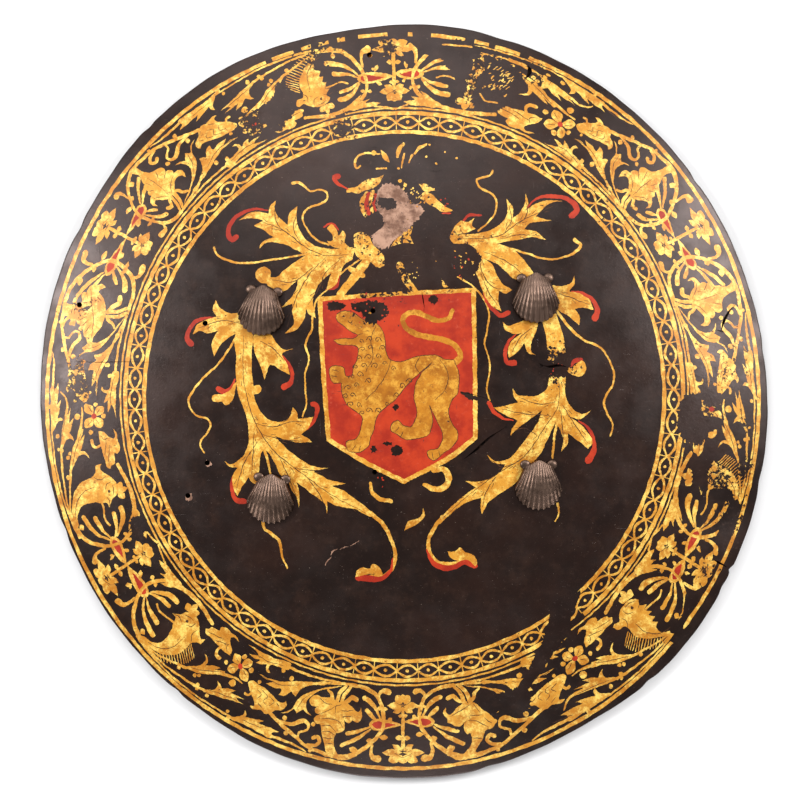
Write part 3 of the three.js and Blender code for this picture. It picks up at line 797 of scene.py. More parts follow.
# %% The right spray
RIGHT_LEAVES = [
    [(36, 126), (44, 129), (58, 130), (70, 134), (79, 142), (81, 149), (80, 157, TIP), (85, 150),
     (85, 142, TIP), (90, 146), (94, 153), (95, 161, TIP), (97, 154), (95, 148, TIP), (103, 153),
     (113, 156), (124, 155, TIP), (115, 154), (107, 148), (103, 143, TIP), (115, 140, TIP), (104, 139),
     (97, 137), (94, 133, TIP), (102, 132), (111, 125, TIP), (100, 127), (88, 125), (72, 122, TIP),
     (84, 118), (93, 110), (102, 98, TIP), (97, 92, TIP), (87, 94), (80, 100), (71, 107), (61, 111, TIP),
     (68, 107), (73, 97), (78, 90), (84, 86, TIP), (79, 83), (74, 85, TIP), (74, 76), (76, 69, TIP),
     (69, 73), (65, 78), (61, 86), (57, 97), (55, 102), (58, 111, TIP), (56, 117), (52, 121), (44, 122),
     (38, 123)],
    [(36, 126), (41, 137), (45, 140), (49, 139), (55, 142, TIP), (53, 136), (56, 134, TIP), (50, 131),
     (42, 129)],
    [(115, 89), (124, 89), (130, 91), (133, 97, TIP), (133, 91), (129, 85, TIP), (137, 83), (145, 78),
     (148, 70, TIP), (141, 72), (133, 71, TIP), (137, 65), (137, 58, TIP), (129, 65), (120, 71),
     (116, 79, TIP)],
    [(77, 61, TIP), (81, 58), (88, 60), (96, 62), (105, 60, TIP), (102, 51), (99, 43), (100, 37),
     (103, 35, TIP), (97, 37), (94, 45, TIP), (88, 37), (82, 33, TIP), (81, 38), (85, 47), (92, 52, TIP),
     (84, 52), (79, 55)],
    [(108, 61, TIP), (111, 50), (113, 38), (118, 35), (126, 37, TIP), (125, 47), (121, 60), (118, 70, TIP)],
    [(127, 24), (133, 27), (139, 31), (142, 24), (139, 19), (133, 19)],
    [(115, 22, TIP), (113, 15), (112, 10), (105, 4), (96, 3), (89, 4), (85, 9, TIP), (86, 2),
     (89, -2, TIP), (81, -4), (70, -6, TIP), (76, -10), (84, -14), (89, -16, TIP), (85, -21),
     (83, -28, TIP), (88, -23), (97, -16), (108, -8, TIP), (104, -18), (97, -28), (91, -36), (81, -46),
     (72, -48), (65, -43, TIP), (70, -49), (79, -50, TIP), (76, -55), (68, -61), (61, -63), (54, -64),
     (48, -63, TIP), (52, -66), (56, -68, TIP), (45, -76), (34, -86), (25, -97, TIP), (28, -97, TIP),
     (40, -86), (49, -80), (60, -76, TIP), (60, -84), (61, -89, TIP), (65, -81), (72, -75), (84, -67),
     (93, -59), (100, -49), (105, -44), (111, -33), (116, -22), (118, -17, TIP), (121, -22), (124, -30),
     (123, -40, TIP), (128, -33), (128, -26, TIP), (136, -32), (144, -38, TIP), (147, -33), (143, -25),
     (135, -17), (127, -12, TIP), (137, -15), (146, -8, TIP), (139, -11), (132, -7), (127, 0), (126, 15),
     (126, 23, TIP)],
    [(34, -118, TIP), (40, -118), (44, -115), (47, -118), (54, -121), (57, -127), (56, -130, TIP),
     (50, -125), (40, -125), (36, -123)],
    [(15, -84, TIP), (16, -91), (10, -97), (0, -102, TIP), (3, -95), (13, -91)],
]
RIGHT_TENDRILS = [
    ([(74, 121), (84, 118), (97, 114), (111, 110), (123, 111), (133, 115), (138, 121), (133, 125)], 1.4,
     1.6, 1.4, 3),
    ([(58, 132), (66, 139), (72, 149), (71, 158), (65, 163), (59, 166), (57, 172), (62, 174), (68, 176),
      (69, 179)],
     1.6, 1.3, 1.8, 1.6),
    ([(42, 96), (52, 90), (61, 81), (66, 70), (65, 55), (63, 44), (66, 33), (67, 22), (65, 13), (65, 6),
      (67, 0)],
     1.2, 1.4, 1.2, 1.2),
    ([(120, 69), (128, 58), (140, 47), (153, 41), (161, 29), (164, 18), (163, 12), (160, 7), (156, -1),
      (159, -11), (163, -19), (161, -28)], 2, 1.8, 1.4, 1.6, 1.2),
    ([(119, -18), (117, -32), (116, -45)], 2, 1.6),
    ([(120, -81), (121, -87), (118, -95)], 1.8, 0.8),
    ([(30, -91), (23, -101), (19, -110), (20, -119), (25, -126), (34, -128), (45, -126)], 3, 2.8, 3.2, 2.4),
    ([(23, -55), (31, -54), (35, -62), (30, -69), (22, -69), (16, -66)], 3.4, 5, 5, 3),
]
RIGHT_RED = [
    ([(96, 150), (103, 157), (115, 159), (124, 158), (132, 154), (135, 148), (131, 144)], 0.8, 2.8, 3.4, 5),
    ([(131, 85), (140, 83), (148, 77), (151, 69), (149, 64)], 0.8, 2.8, 3, 5.4),
    ([(62, 84), (65, 76), (70, 70), (76, 66), (81, 68)], 0.8, 2.6, 3, 4.4),
    ([(88, 52), (82, 46), (79, 37), (81, 29), (86, 29)], 0.8, 2.6, 3, 4.4),
    ([(46, 139), (50, 144), (60, 144)], 1.2, 2.4, 1.6),
    ([(130, 26), (133, 30.4), (138, 31.4)], 1, 3.2, 3.6),
    ([(136, -16), (144, -22), (148, -31), (148, -40), (144, -47)], 0.8, 2.8, 3.2, 5.8),
    ([(66, -2), (70, -9), (77, -14), (85, -16)], 3.4, 2.8, 0.8),
    ([(18, -117), (22.6, -126.6), (31, -131), (40, -130), (47, -126.6), (55.4, -129.4)], 1, 4, 4.4, 4, 4.4),
]
RIGHT_VEINS = [
    [(42, 126), (58, 126), (74, 128), (90, 139), (116, 151)],
    [(78, 130), (84, 141), (82, 152)],
    [(88, 136), (96, 145), (95, 156)],
    [(76, 126), (92, 129), (106, 128)],
    [(62, 116), (80, 108), (97, 95)],
    [(58, 114), (62, 98), (70, 88), (80, 86)],
    [(60, 100), (66, 84), (74, 73)],
    [(121, 20), (120, -5), (108, -24), (94, -44), (72, -58), (46, -78), (30, -93)],
    [(118, -2), (104, -3), (90, 2)],
    [(114, -12), (96, -11), (76, -7)],
    [(104, -28), (94, -22), (86, -24)],
    [(90, -48), (76, -52), (68, -47)],
    [(72, -60), (64, -72), (61, -84)],
    [(122, -8), (124, -24), (124, -36)],
    [(124, -4), (134, -20), (143, -33)],
    [(118, 84), (130, 80), (145, 74)],
    [(100, 56), (92, 50), (84, 37)],
]
print("right spray:", spray(RIGHT_LEAVES, RIGHT_TENDRILS, RIGHT_RED, RIGHT_VEINS), "shapes")

# %% [markdown]
# ## The coat of arms
# A red field in a gilt frame holds a gilt walking beast, a stock figure of heraldry, with one paw raised
# and its tail curled over its back. It is drawn as one outline and a tail stroke, with dark contour
# lines for the mouth, the paws and the curls of the mane.

# %% Field and beast
FIELD_FRAME = [(-67.5, 80.5, TIP), (-5.5, 84.5), (56, 87.5, TIP), (57, 30), (57.5, -30, TIP), (41, -43.5),
               (0, -65.5, TIP), (-30.5, -50.5), (-60.5, -32, TIP), (-64.5, 19.5)]
FIELD = [(-63.8, 77.2, TIP), (-5.5, 81.2), (52.6, 84, TIP), (53.6, 30), (54, -28.4, TIP), (39, -40.4),
         (0, -61.6, TIP), (-29, -47.2), (-57, -30, TIP), (-61, 19.5)]
BEAST = [(-52, 67), (-49, 69), (-41, 69), (-35, 65), (-30, 62), (-22, 60), (-17, 55), (-15, 47),
         (-14, 38), (-10, 31), (-3, 30), (7, 33), (17, 35), (25, 35), (32, 32), (39, 31, TIP), (42, 24),
         (43, 15), (42, 6), (37, -1), (35, -7), (38, -19), (42, -25), (41, -32), (37, -37), (30, -42),
         (24, -47), (19, -45), (18, -40), (26, -38), (29, -34), (30, -27), (26, -17), (20, -4, TIP),
         (22, -12), (22, -20), (19, -27), (10, -30), (1, -31), (-5, -27), (-10, -24), (-9, -18),
         (-4, -16), (0, -20), (5, -21), (9, -15), (10, -7), (8, 1), (9, 12), (13, 20), (22, 29, TIP),
         (11, 20), (0, 9), (-7, 0), (-16, -7), (-21, -13), (-23, -21), (-26, -30), (-28, -36), (-36, -41),
         (-44, -39), (-45, -33), (-37, -30), (-34, -23), (-33, -13), (-36, -10), (-44, -4), (-48, 4),
         (-49, 13, TIP), (-56, 14), (-58, 19), (-57, 26), (-52, 27), (-47, 25), (-45, 19), (-41, 18, TIP),
         (-39, 26), (-36, 34), (-36, 41), (-44, 43), (-52, 44), (-55, 47, TIP), (-47, 48), (-38, 49),
         (-36, 51, TIP), (-41, 53), (-46, 57), (-51, 61), (-53, 64)]
BEAST_TAIL = [(40, 29), (44, 34), (42, 40), (36, 45), (26, 48), (11, 51), (2, 56), (-1, 62), (2, 67),
              (11, 68), (18, 65), (27, 62), (35, 64), (38, 70)]
painting.shape(GOLD, FIELD_FRAME)
painting.shape(RED, FIELD)
painting.line(TAWNY, BEAST_TAIL, 4.6, 4.4, 4.4, 4.2, 3.4)
painting.shape(TAWNY, BEAST)
painting.line(LINE, smooth(BEAST, closed=True, step=3), 0.55)
BEAST_LINES = [
    [(-44, 62), (-42, 60), (-40, 62)], [(-36, 51), (-32, 52)],
    [(-22, 58), (-26, 46), (-24, 34), (-30, 22)], [(-10, 31), (-14, 20), (-22, 8), (-30, 0)],
    [(13, 20), (9, 26), (12, 33)], [(28, 32), (34, 22), (32, 8), (24, 0)], [(-38, -35), (-40, -39)],
    [(-34, -36), (-35, -40)], [(-4, -21), (-7, -25)], [(-1, -25), (-3, -29)], [(22, -41), (23, -46)],
    [(27, -40), (28, -44)], [(-52, 18), (-57, 19)], [(-51, 22), (-56, 24)],
]
for points in BEAST_LINES:
    painting.line(LINE, points, 0.35, 0.6, 0.35)
CURLS = [(-33, 46), (-27, 48), (-20, 47), (-33, 40), (-26, 41), (-17, 41), (-35, 33), (-28, 34),
         (-20, 34), (-38, 26), (-31, 27), (-23, 27), (-15, 29), (-41, 18), (-34, 20), (-44, 10),
         (-37, 12), (-46, 3), (-40, 4), (-42, -3), (-35, -4), (-33, -10), (-27, -8), (-20, -8), (-13, -3),
         (-6, 4), (-1, 11), (4, 15), (-8, 25), (-28, 15)]
CURL = [(-2.2, -1), (-1.2, 1.2), (1, 1.6), (2, -0.2), (0.6, -1.4), (-0.4, -0.2)]
for number, (x, y) in enumerate(CURLS):
    across = (1 if number % 2 else -1)*(0.8 + 0.12*(number % 4))
    up = 0.8 + 0.15*(number % 3)
    painting.line(LINE, [(x + a*across, y + b*up) for a, b in CURL], 0.6)
print("with the arms:", len(painting.shapes), "shapes")

# %% [markdown]
# ## What is left of the helm
# Above the field stood a helm with leaves and a plume. Most of its paint has flaked off, down to the
# bare pinkish ground, and only scraps of gilding and red are left. Nothing lost is painted in again.

# %% Scraps of the helm and the plume
HELM_LEAVES = [
    [(-45, 162, TIP), (-40, 162), (-36.5, 161), (-32, 163), (-25.5, 165), (-21.5, 167), (-15.5, 176, TIP),
     (-20.5, 173.5), (-29, 172), (-37.5, 166.5), (-45, 164)],
    [(11.5, 168.5, TIP), (17, 168.5), (24.5, 163.5, TIP), (16, 163)],
    [(12.5, 158), (16, 162.5), (21, 161), (28.5, 154), (38, 147.5, TIP), (32, 146.5), (23.5, 150.5),
     (16.5, 155)],
    [(-10.5, 120, TIP), (-7, 124.5), (1.5, 133), (6.5, 135.5), (5, 128), (7.5, 122, TIP), (0.5, 122.5)],
    [(-18, 195.5, TIP), (-13, 191), (-11, 185.5, TIP), (-16, 188)],
    [(29, 95, TIP), (34.5, 88, TIP), (31, 88)],
]
HELM_STROKES = [
    (GOLD, [(-29, 161.5), (-32.5, 155.5), (-32.5, 150), (-30, 144)], 3.4, 3.2),
    (RED, [(-27.5, 161), (-29.5, 153), (-27.5, 145.5)], 3, 3),
    (GOLD, [(-24.5, 162.5), (-26, 155), (-25, 147)], 3, 2.6),
    (RED, [(-22.5, 160), (-23.5, 152.5), (-22, 148)], 2.4, 2),
    (RED, [(-43.5, 164.5), (-49.5, 167.5), (-53.5, 171), (-54, 174), (-51.5, 174.5)], 0.8, 2.4, 4.4),
    (GOLD, [(-34, 183), (-37, 181), (-38.5, 184.5), (-36.5, 189.5), (-30.5, 192.5), (-25, 192.5),
            (-19, 192)], 1, 2, 1.6, 1),
    (GOLD, [(-21.5, 180.7), (-14, 180.7)], 1.4),
    (GOLD, [(0, 200), (-3.5, 196.5), (-5, 189.5)], 2, 3.4, 2),
    (GOLD, [(0, 192), (-2, 181)], 1.6, 1),
    (GOLD, [(17.5, 199.7), (11.5, 196.3), (8.2, 192.5)], 1.6, 2.6, 1.4),
    (GOLD, [(6.5, 191.2), (3.6, 185.3)], 1.8, 1),
    (RED, [(30, 145.6), (36, 145.6)], 1.2),
    (GOLD, [(-27.5, 111), (-36.5, 98.5), (-49.5, 83)], 6.4, 6.8, 6),
    (GOLD, [(-41.5, 102), (-32, 97)], 4),
    (GOLD, [(-3.5, 105), (1.5, 94), (8.5, 84.5)], 5.6, 5.8, 5),
]
HELM_BALLS = [(-23.5, 193, 1.9), (20, 199.3, 1), (-4.5, 181, 1.1), (32, 193.3, 0.9), (41, 188.7, 0.9),
              (17.5, 190, 0.9), (25, 184.5, 0.9), (-3, 171, 1.5), (1, 167.5, 1.3)]
BARE_PATCH = [(-20.5, 163), (-15.5, 168.5), (-8.5, 170), (-3.5, 167.5), (1.5, 163), (6.5, 153),
              (11.5, 152), (15, 148), (11, 140.5), (6.5, 137), (5, 134.5), (-3.5, 128), (-10.5, 121),
              (-17, 117.5), (-24, 121), (-25.5, 128), (-20.5, 132), (-15.5, 138), (-17, 143), (-20.5, 148)]
for outline in HELM_LEAVES:
    painting.shape(GOLD, outline)
for paint, points, *widths in HELM_STROKES:
    painting.line(paint, points, *widths)
for x, y, radius in HELM_BALLS:
    painting.ball(GOLD, x, y, radius)
print("with the helm:", len(painting.shapes), "shapes")

# %% [markdown]
# ## Losses, nail holes and slits
# Age has eaten into the painting. Where whole patches are gone, ragged shapes of bare ground go on top
# of the stack. Old nail holes and slits are real hollows: each has an outline on the face and a
# smaller one for its floor, which is pushed down when the drawing is lifted onto the dome. Their insides
# are painted near-black, as painted shade.

# %% Ragged patches
CHANCE = np.random.default_rng(7)


def ragged(points, roughness=1.0):
    """A closed outline with a broken edge, as flaking paint leaves it."""
    edge = smooth(points, closed=True, step=0.9)
    drift = CHANCE.normal(0, 1, len(edge))
    drift = drift + 1.5*np.convolve(np.concatenate([drift, drift[:8]]), np.ones(9)/9, "valid")[:len(edge)]
    middle = edge.mean(axis=0)
    out = edge - middle
    out = out/np.maximum(np.linalg.norm(out, axis=1, keepdims=True), 1e-6)
    return edge + out*drift[:, None]*roughness*0.5


def blot(x, y, radius, tall=1.0):
    """Chosen points round a small patch of loss."""
    turn = np.arange(7)/7*2*math.pi + CHANCE.uniform(0, 1)
    reach = radius*CHANCE.uniform(0.75, 1.2, 7)
    return [(x + r*math.cos(a), y + r*tall*math.sin(a)) for a, r in zip(turn, reach)]


DARK_IN_BARE = [(-20.5, 158), (-14, 157.5), (-7, 156), (-7.5, 150), (-14, 149), (-20, 151)]
painting.fill(BARE, ragged(BARE_PATCH, 1.4))
painting.fill(GROUND, ragged(DARK_IN_BARE, 1.2))
LOSSES = [
    [(105, 33), (110, 38.4), (118, 37.6), (127, 36.4), (130, 29), (127, 22), (121, 18.6), (112, 19.4),
     (106, 25)],
    [(-59, 75.5), (-52, 77), (-47, 75), (-46, 72.5), (-51, 70), (-58, 71)],
    [(-42, 73.6), (-33, 76.6), (-22, 77.6), (-13, 73), (-12.4, 66), (-19, 62), (-24, 59), (-29, 61),
     (-32, 66.6), (-41, 71)],
    [(53, 98), (57, 100), (59, 106), (61, 112), (58, 116), (53, 118.6), (50, 112), (51, 104)],
    [(115.5, -162), (128, -155), (137.4, -148), (130, -172), (126, -187), (115.5, -199), (110, -209),
     (101, -220), (94, -228), (88, -229), (90, -222), (97, -211), (103, -197), (112, -179.5)],
]
# degrees clockwise and millimetres across the border
BORDER_LOSSES = [
    [(2.7, 41), (3.3, 49), (6.2, 52.6), (11.5, 52.6), (13, 46), (11.5, 40), (10.8, 30.6), (7.7, 31.4),
     (6.9, 35), (4.2, 40)],
    [(13.3, 46), (16.5, 46), (20, 42), (20, 18), (18, 7), (15.4, 6), (13, 9), (12.9, 19), (13.3, 29),
     (13.8, 37)],
    [(9.4, 25), (11.5, 25), (11.7, 15), (11.2, 12), (9.8, 15)],
    [(11.3, 51.6), (13, 52.4), (15, 52.6), (17, 52.6), (19, 52.6), (20.6, 51.6), (20.4, 50), (19, 49.4),
     (17, 49), (15, 48.8), (13, 48.7), (11.5, 48.7)],
    [(114, 43), (112, 49.5), (109, 53), (106.7, 52), (106.7, 45), (108.5, 45), (111, 44)],
    [(107, 45.6), (105.8, 45), (105.2, 35.3), (106.7, 34.6), (107.3, 40)],
    [(106.7, 23), (103.8, 21), (100.8, 23), (99.2, 18), (101.5, 8.6), (104.6, 7.8), (106.7, 12)],
    [(98.7, -1.6), (98.5, 13), (97, 15), (95, 23), (93.5, 25), (93.2, 19.6), (93.2, 13), (92.9, 10),
     (90.8, 8.6), (89.2, 8.6), (89.2, -1.6)],
    [(90.9, 24.6), (89.2, 25), (88.7, 20), (89.2, 8.6), (90.9, 9.4)],
    [(123.3, 45.6), (125, 51), (127.7, 54), (130.4, 55.6), (131, 51), (129.8, 47), (128.7, 49),
     (127.3, 48.7), (125.8, 45.6), (124.2, 42.4)],
    [(157.9, 31.4), (160.8, 32.2), (163.3, 24), (163.6, 15.6), (161.5, 12.8), (159.2, 13.6),
     (157.5, 14.4), (156.8, 20)],
    [(339.8, 30.6), (338.5, 37), (337, 30.6), (333, 21), (333, 13), (335.4, 6.2), (338.5, 8.6),
     (340, 19.6)],
    [(242.7, 9), (245.5, 9), (246, 4.5), (245.6, -1), (242.6, -1), (242.9, 5)],
]
LOSSES += [[tuple(on_border(*spot)) for spot in outline] for outline in BORDER_LOSSES]
for points in LOSSES:
    painting.fill(GROUND, ragged(points, 1.2))
# scraps that are left inside the lost places: degrees, millimetres across the border, width
SCRAPS = [
    ((6.3, 8.7, 11), (49.2, 50.1, 51), 1.3), ((17.3, 20.2), (49.5, 49.2), 1.2),
    ((14.2, 15.4, 17.7), (16.5, 12.5, 13.6), 1.3), ((12.2, 12.4), (24, 20), 2.4),
]
LOOSE_BRISTLES = 46
LEAF_SCRAP = [(113, 36), (118.6, 36.4), (120, 31.6), (117.4, 29), (114, 30.6)]
PALE_CRACK = [
    ([(-61.7, -129.5), (-60, -126.4), (-57, -122.5)], 1.1),
    ([(-57.6, -121), (-55.4, -117.8), (-52, -116)], 1.3),
    ([(-50, -116.4), (-46, -115), (-43.6, -114.6)], 0.7),
    ([(-42, -114), (-38, -112), (-35, -110)], 0.5),
]
# crumbs round the lost places: middle, reach, paint, count
CRUMBS = [
    (46, 102, 13, RED, 7), (47, 108, 12, GOLD, 16), (118, 24, 10, RED, 7), (8, 160, 11, GOLD, 22),
    (-18, -60, 6, RED, 6), (-30, 73, 12, RED, 16), (-17, 66, 8, RED, 8), (-25, 63, 5, TAWNY, 7),
    (34, 150, 6, RED, 7), (8, 100, 10, GOLD, 9),
]
FRAME_LOSS = [(45, 6), (51, 3), (58.4, 0.4)]
# place, radius, height as a share of the width
BLOTS = [
    (23.5, 79, 3.4, 1), (-6.5, -5.7, 2, 1), (-5.5, -39.4, 4.6, 0.9), (-24, -38.3, 3, 1),
    (-22, -57, 3.4, 1), (-13, -34, 4, 0.3),
]
for turns, levels, width in SCRAPS:
    painting.line(GOLD, [tuple(on_border(*spot)) for spot in zip(turns, levels)], width)
for _ in range(LOOSE_BRISTLES):
    spot = on_border(CHANCE.uniform(14.2, 19.4), CHANCE.uniform(20, 41))
    lean = CHANCE.uniform(0.2, 1.0)
    length = CHANCE.uniform(1, 3)
    end = (spot[0] + length*math.cos(lean), spot[1] + length*math.sin(lean))
    painting.line(GOLD, [tuple(spot), end], 0.7)
painting.ball(GOLD, *on_border(96.7, 18.4), 2.6)
painting.fill(GOLD, ragged(LEAF_SCRAP, 1))
for points, width in PALE_CRACK:
    painting.fill(BARE, ragged(stroke(points, (0.2, width, 0.2)), 0.3))
for x, y, reach, paint, count in CRUMBS:
    for _ in range(count):
        painting.ball(paint, x + CHANCE.normal(0, reach/2), y + CHANCE.normal(0, reach/2),
                      CHANCE.uniform(0.3, 0.85))
painting.fill(GROUND, ragged(stroke(FRAME_LOSS, (1.4, 5, 2.4)), 0.7))
for x, y, radius, tall in BLOTS:
    painting.fill(GROUND, ragged(blot(x, y, radius, tall), 0.8))
print("with the losses:", len(painting.shapes), "shapes")

# %% Nail holes and slits
NAIL_RADIUS = 2.1
NAIL_DEPTH = 6.0
CHIP_RADIUS = 2.8
CHIP_SHIFT = 0.7
# places on the face
NAIL_HOLES = [(-26.9, 268.5), (-252.5, 74.0), (-153.2, 59.2), (-23.9, 68.4), (-151.5, -48.4),
              (-166.7, -73.7), (-22.5, -55.3)]
# route in the layout, width at the middle, depth
SLITS = [
    ([(109, 27), (114, 26), (119, 27), (127, 26)], 2.6, 4.0),
    ([(247.7, 54.3), (249.6, 61.3), (252.3, 66.7), (255.7, 71.4), (257.5, 72.6)], 2.2, 3.0),
    ([(97, 261), (98.2, 256.4), (95.5, 251)], 3.6, 3.0),
    ([(14, 84), (15, 78), (16, 72)], 1.0, 1.5),
    ([(-257, 30), (-240, 29.5), (-220, 29.8), (-198, 29.5)], 0.5, 0.6),
    ([(47, -46), (56, -39), (66, -30), (78, -22)], 2.2, 2.4),
    ([(43.7, 6.2), (55, 4), (67.9, 0)], 0.4, 0.5),
    ([(242, -125), (247, -127.5), (252, -130.5)], 1.7, 4.0),
]
hollows = []


def hollow(outline, floor, depth):
    """A real hole in the face: its outline is painted near-black as painted shade, and its floor lies
    deeper.
    """
    painting.fill(HOLLOW, outline)
    hollows.append((floor, depth))


def circle(x, y, radius, sides=12):
    turn = np.arange(sides)/sides*2*math.pi
    return np.stack([x + radius*np.cos(turn), y + radius*np.sin(turn)], axis=1)


for x, y in as_seen(np.array(NAIL_HOLES[4:6])):
    painting.fill(BARE, ragged(blot(x + CHIP_SHIFT, y - CHIP_SHIFT, CHIP_RADIUS), 0.8))
for x, y in as_seen(np.array(NAIL_HOLES)):
    hollow(circle(x, y, NAIL_RADIUS), circle(x, y, NAIL_RADIUS*0.7), NAIL_DEPTH)
painting.fill(TAWNY, circle(*(as_seen(np.array(NAIL_HOLES[:1]))[0] + (0.7, -0.5)), 0.75*NAIL_RADIUS))
for route, width, depth in SLITS:
    outline = stroke(route, (0.2, width, 0.8*width, 0.2))
    hollow(outline, stroke(route, (0.08, 0.4*width, 0.3*width, 0.08)), depth)
print("holes and slits:", len(hollows))

# %% [markdown]
# ## From outlines to a painted mesh
# All outlines and a loose grid of points go into one Delaunay triangulation that keeps every outline
# as an edge. Then each triangle asks which shape was painted last over its middle. So the paint edges
# are as crisp as the outlines, from any distance, and the face stays one closed surface.

# %% Triangulate the drawing
RIM_STEPS = 720
GRID = 7.0
GRID_REACH = 45
GRID_INSET = 5
EDGE_ROUND = 1.2
rim_angles = np.arange(RIM_STEPS)/RIM_STEPS*2*math.pi
# direction in degrees, depth, half width in degrees
NICKS = [(8, 0.7, 1.2), (37, 0.9, 1.0), (75, 1.1, 2.2), (133, 1.0, 0.9), (152, 1.2, 1.4), (201, 0.8, 1.1),
         (232, 1.0, 0.9), (283, 0.9, 1.3), (311, 1.3, 1.1), (329.5, 0.9, 1.0), (332.6, 2.0, 0.5),
         (347, 1.0, 1.6)]


def nick_depth(angle):
    """How much small knocks and wear have taken off the rim."""
    depth = 0.25 + 0.15*np.sin(angle*23) + 0.1*np.sin(angle*61 + 1)
    for at, deep, half in NICKS:
        away = np.abs((np.degrees(angle) - at + 180) % 360 - 180)/half
        depth = depth + deep*np.exp(-away**2)
    return depth


def tremble(outline, amount=0.2):
    """The small unevenness of a hand-held brush."""
    x, y = outline.T
    shift_x = np.sin(0.61*x + 0.37*y) + 0.8*np.sin(1.31*x - 1.93*y + 1.7)
    shift_y = np.sin(0.53*y - 0.41*x + 0.6) + 0.8*np.sin(1.47*y + 1.71*x + 2.9)
    return outline + amount*np.stack([shift_x, shift_y], axis=1)


rim_edge = rim_radius(rim_angles) - nick_depth(rim_angles)
face_edge = np.stack([np.cos(rim_angles), np.sin(rim_angles)], axis=1)*(rim_edge - EDGE_ROUND)[:, None]
shapes = [(paint, outline if paint == HOLLOW else tremble(outline)) for paint, outline in painting.shapes]
loops = [as_seen(face_edge)] + [outline for _, outline in shapes] + [floor for floor, _ in hollows]
rows, columns = np.mgrid[-GRID_REACH:GRID_REACH + 1, -GRID_REACH:GRID_REACH + 1]
grid = np.stack([(columns + 0.5*(rows % 2))*GRID, rows*GRID*0.866], axis=-1).reshape(-1, 2).astype(float)
grid = grid[np.hypot(*grid.T) < rim_radius(np.arctan2(grid[:, 1], grid[:, 0])) - GRID_INSET]
starts = np.cumsum([0] + [len(loop) for loop in loops])
edges = [(start + i, start + (i + 1) % len(loop))
         for start, loop in zip(starts, loops) for i in range(len(loop))]
spots = np.concatenate(loops + [grid])
result = delaunay_2d_cdt([Vector(spot) for spot in spots], edges, [], 0, 1e-4)
layout = np.array([tuple(vert) for vert in result[0]])
triangles = np.array(result[2])
print("drawing:", len(edges), "edges,", len(triangles), "triangles")

# %% Paint each triangle


def inside(outline, spots):
    """Which spots lie inside a closed outline, by how often it winds round them."""
    x, y = spots[:, :1], spots[:, 1:]
    x0, y0 = outline.T
    x1, y1 = np.roll(outline, -1, axis=0).T
    side = (x1 - x0)*(y - y0) - (x - x0)*(y1 - y0)
    up = (y0 <= y) & (y1 > y) & (side > 0)
    down = (y0 > y) & (y1 <= y) & (side < 0)
    return up.sum(axis=1) != down.sum(axis=1)


def inside_near(outline, spots):
    """The same test as indices, asking only the spots in the outline's box."""
    low, high = outline.min(axis=0), outline.max(axis=0)
    near = np.flatnonzero(((spots >= low) & (spots <= high)).all(axis=1))
    return near[inside(outline, spots[near])]


middles = layout[triangles].mean(axis=1)
turned = np.cross(layout[triangles[:, 1]] - layout[triangles[:, 0]],
                  layout[triangles[:, 2]] - layout[triangles[:, 0]])
triangles[turned < 0] = triangles[turned < 0][:, ::-1]
kept = np.zeros(len(triangles), bool)
kept[inside_near(loops[0], middles)] = True
triangles, middles = triangles[kept], middles[kept]
paints = np.zeros(len(triangles), np.int32)
for paint, outline in shapes:
    paints[inside_near(outline, middles)] = paint
print("painted triangles:", {name: int((paints == number).sum()) for number, name in enumerate(PAINTS)})

# %% [markdown]
# ## Lifting the drawing onto the board
# The flat mesh is slid onto the dome and closed with the rounded rim, the flat foot and the hollow
# back. The back has few marks, so plain rings of points are enough there. Normals come from the
# formulas, so that thin triangles don't show as facets in the gloss.

# %% Rings for the rim and the back
BACK_RINGS = 14
PAINTED_RINGS = 4
FRONT_RINGS = 5
# how far inside the rim, height, outward and upward parts of the normal
RIM_PROFILE = [(0.3, RIM_FACE - 0.3, 0.6, 0.8), (0.0, RIM_FACE - 1.3, 1, 0.2), (0.0, RIM_ROUND, 1, -0.2),
               (0.64, 0.64, 0.7, -0.7), (RIM_ROUND, 0.0, 0.2, -1), (RIM_ROUND + FOOT, 0.0, 0, -1)]
plan = on_dome(layout)
height = face_height(*plan.T)
normals = upward(face_height, *plan.T)
for floor, depth in hollows:
    low = inside_near(floor + (floor - floor.mean(axis=0))*0.02, layout)
    height[low] -= depth
points = [np.column_stack([plan, height])]
point_normals = [normals]
heading = np.stack([np.cos(rim_angles), np.sin(rim_angles)], axis=1)
for inset, level, out, up in RIM_PROFILE:
    edge = rim_edge if inset < RIM_ROUND else rim_radius(rim_angles)
    points.append(np.column_stack([heading*(edge - inset)[:, None], np.full(RIM_STEPS, level)]))
    lean = np.column_stack([heading*out, np.full(RIM_STEPS, up)])
    point_normals.append(lean/np.linalg.norm(lean, axis=1, keepdims=True))
for ring in range(BACK_RINGS - 1, 0, -1):
    flat = heading*(back_radius(rim_angles)*ring/BACK_RINGS)[:, None]
    points.append(np.column_stack([flat, back_height(*flat.T)]))
    point_normals.append(-upward(back_height, *flat.T))
points.append(np.array([[0.0, 0.0, RISE - BOARD]]))
point_normals.append(np.array([[0.0, 0.0, -1.0]]))
points = np.concatenate(points)
point_normals = np.concatenate(point_normals)
print("board points:", len(points))

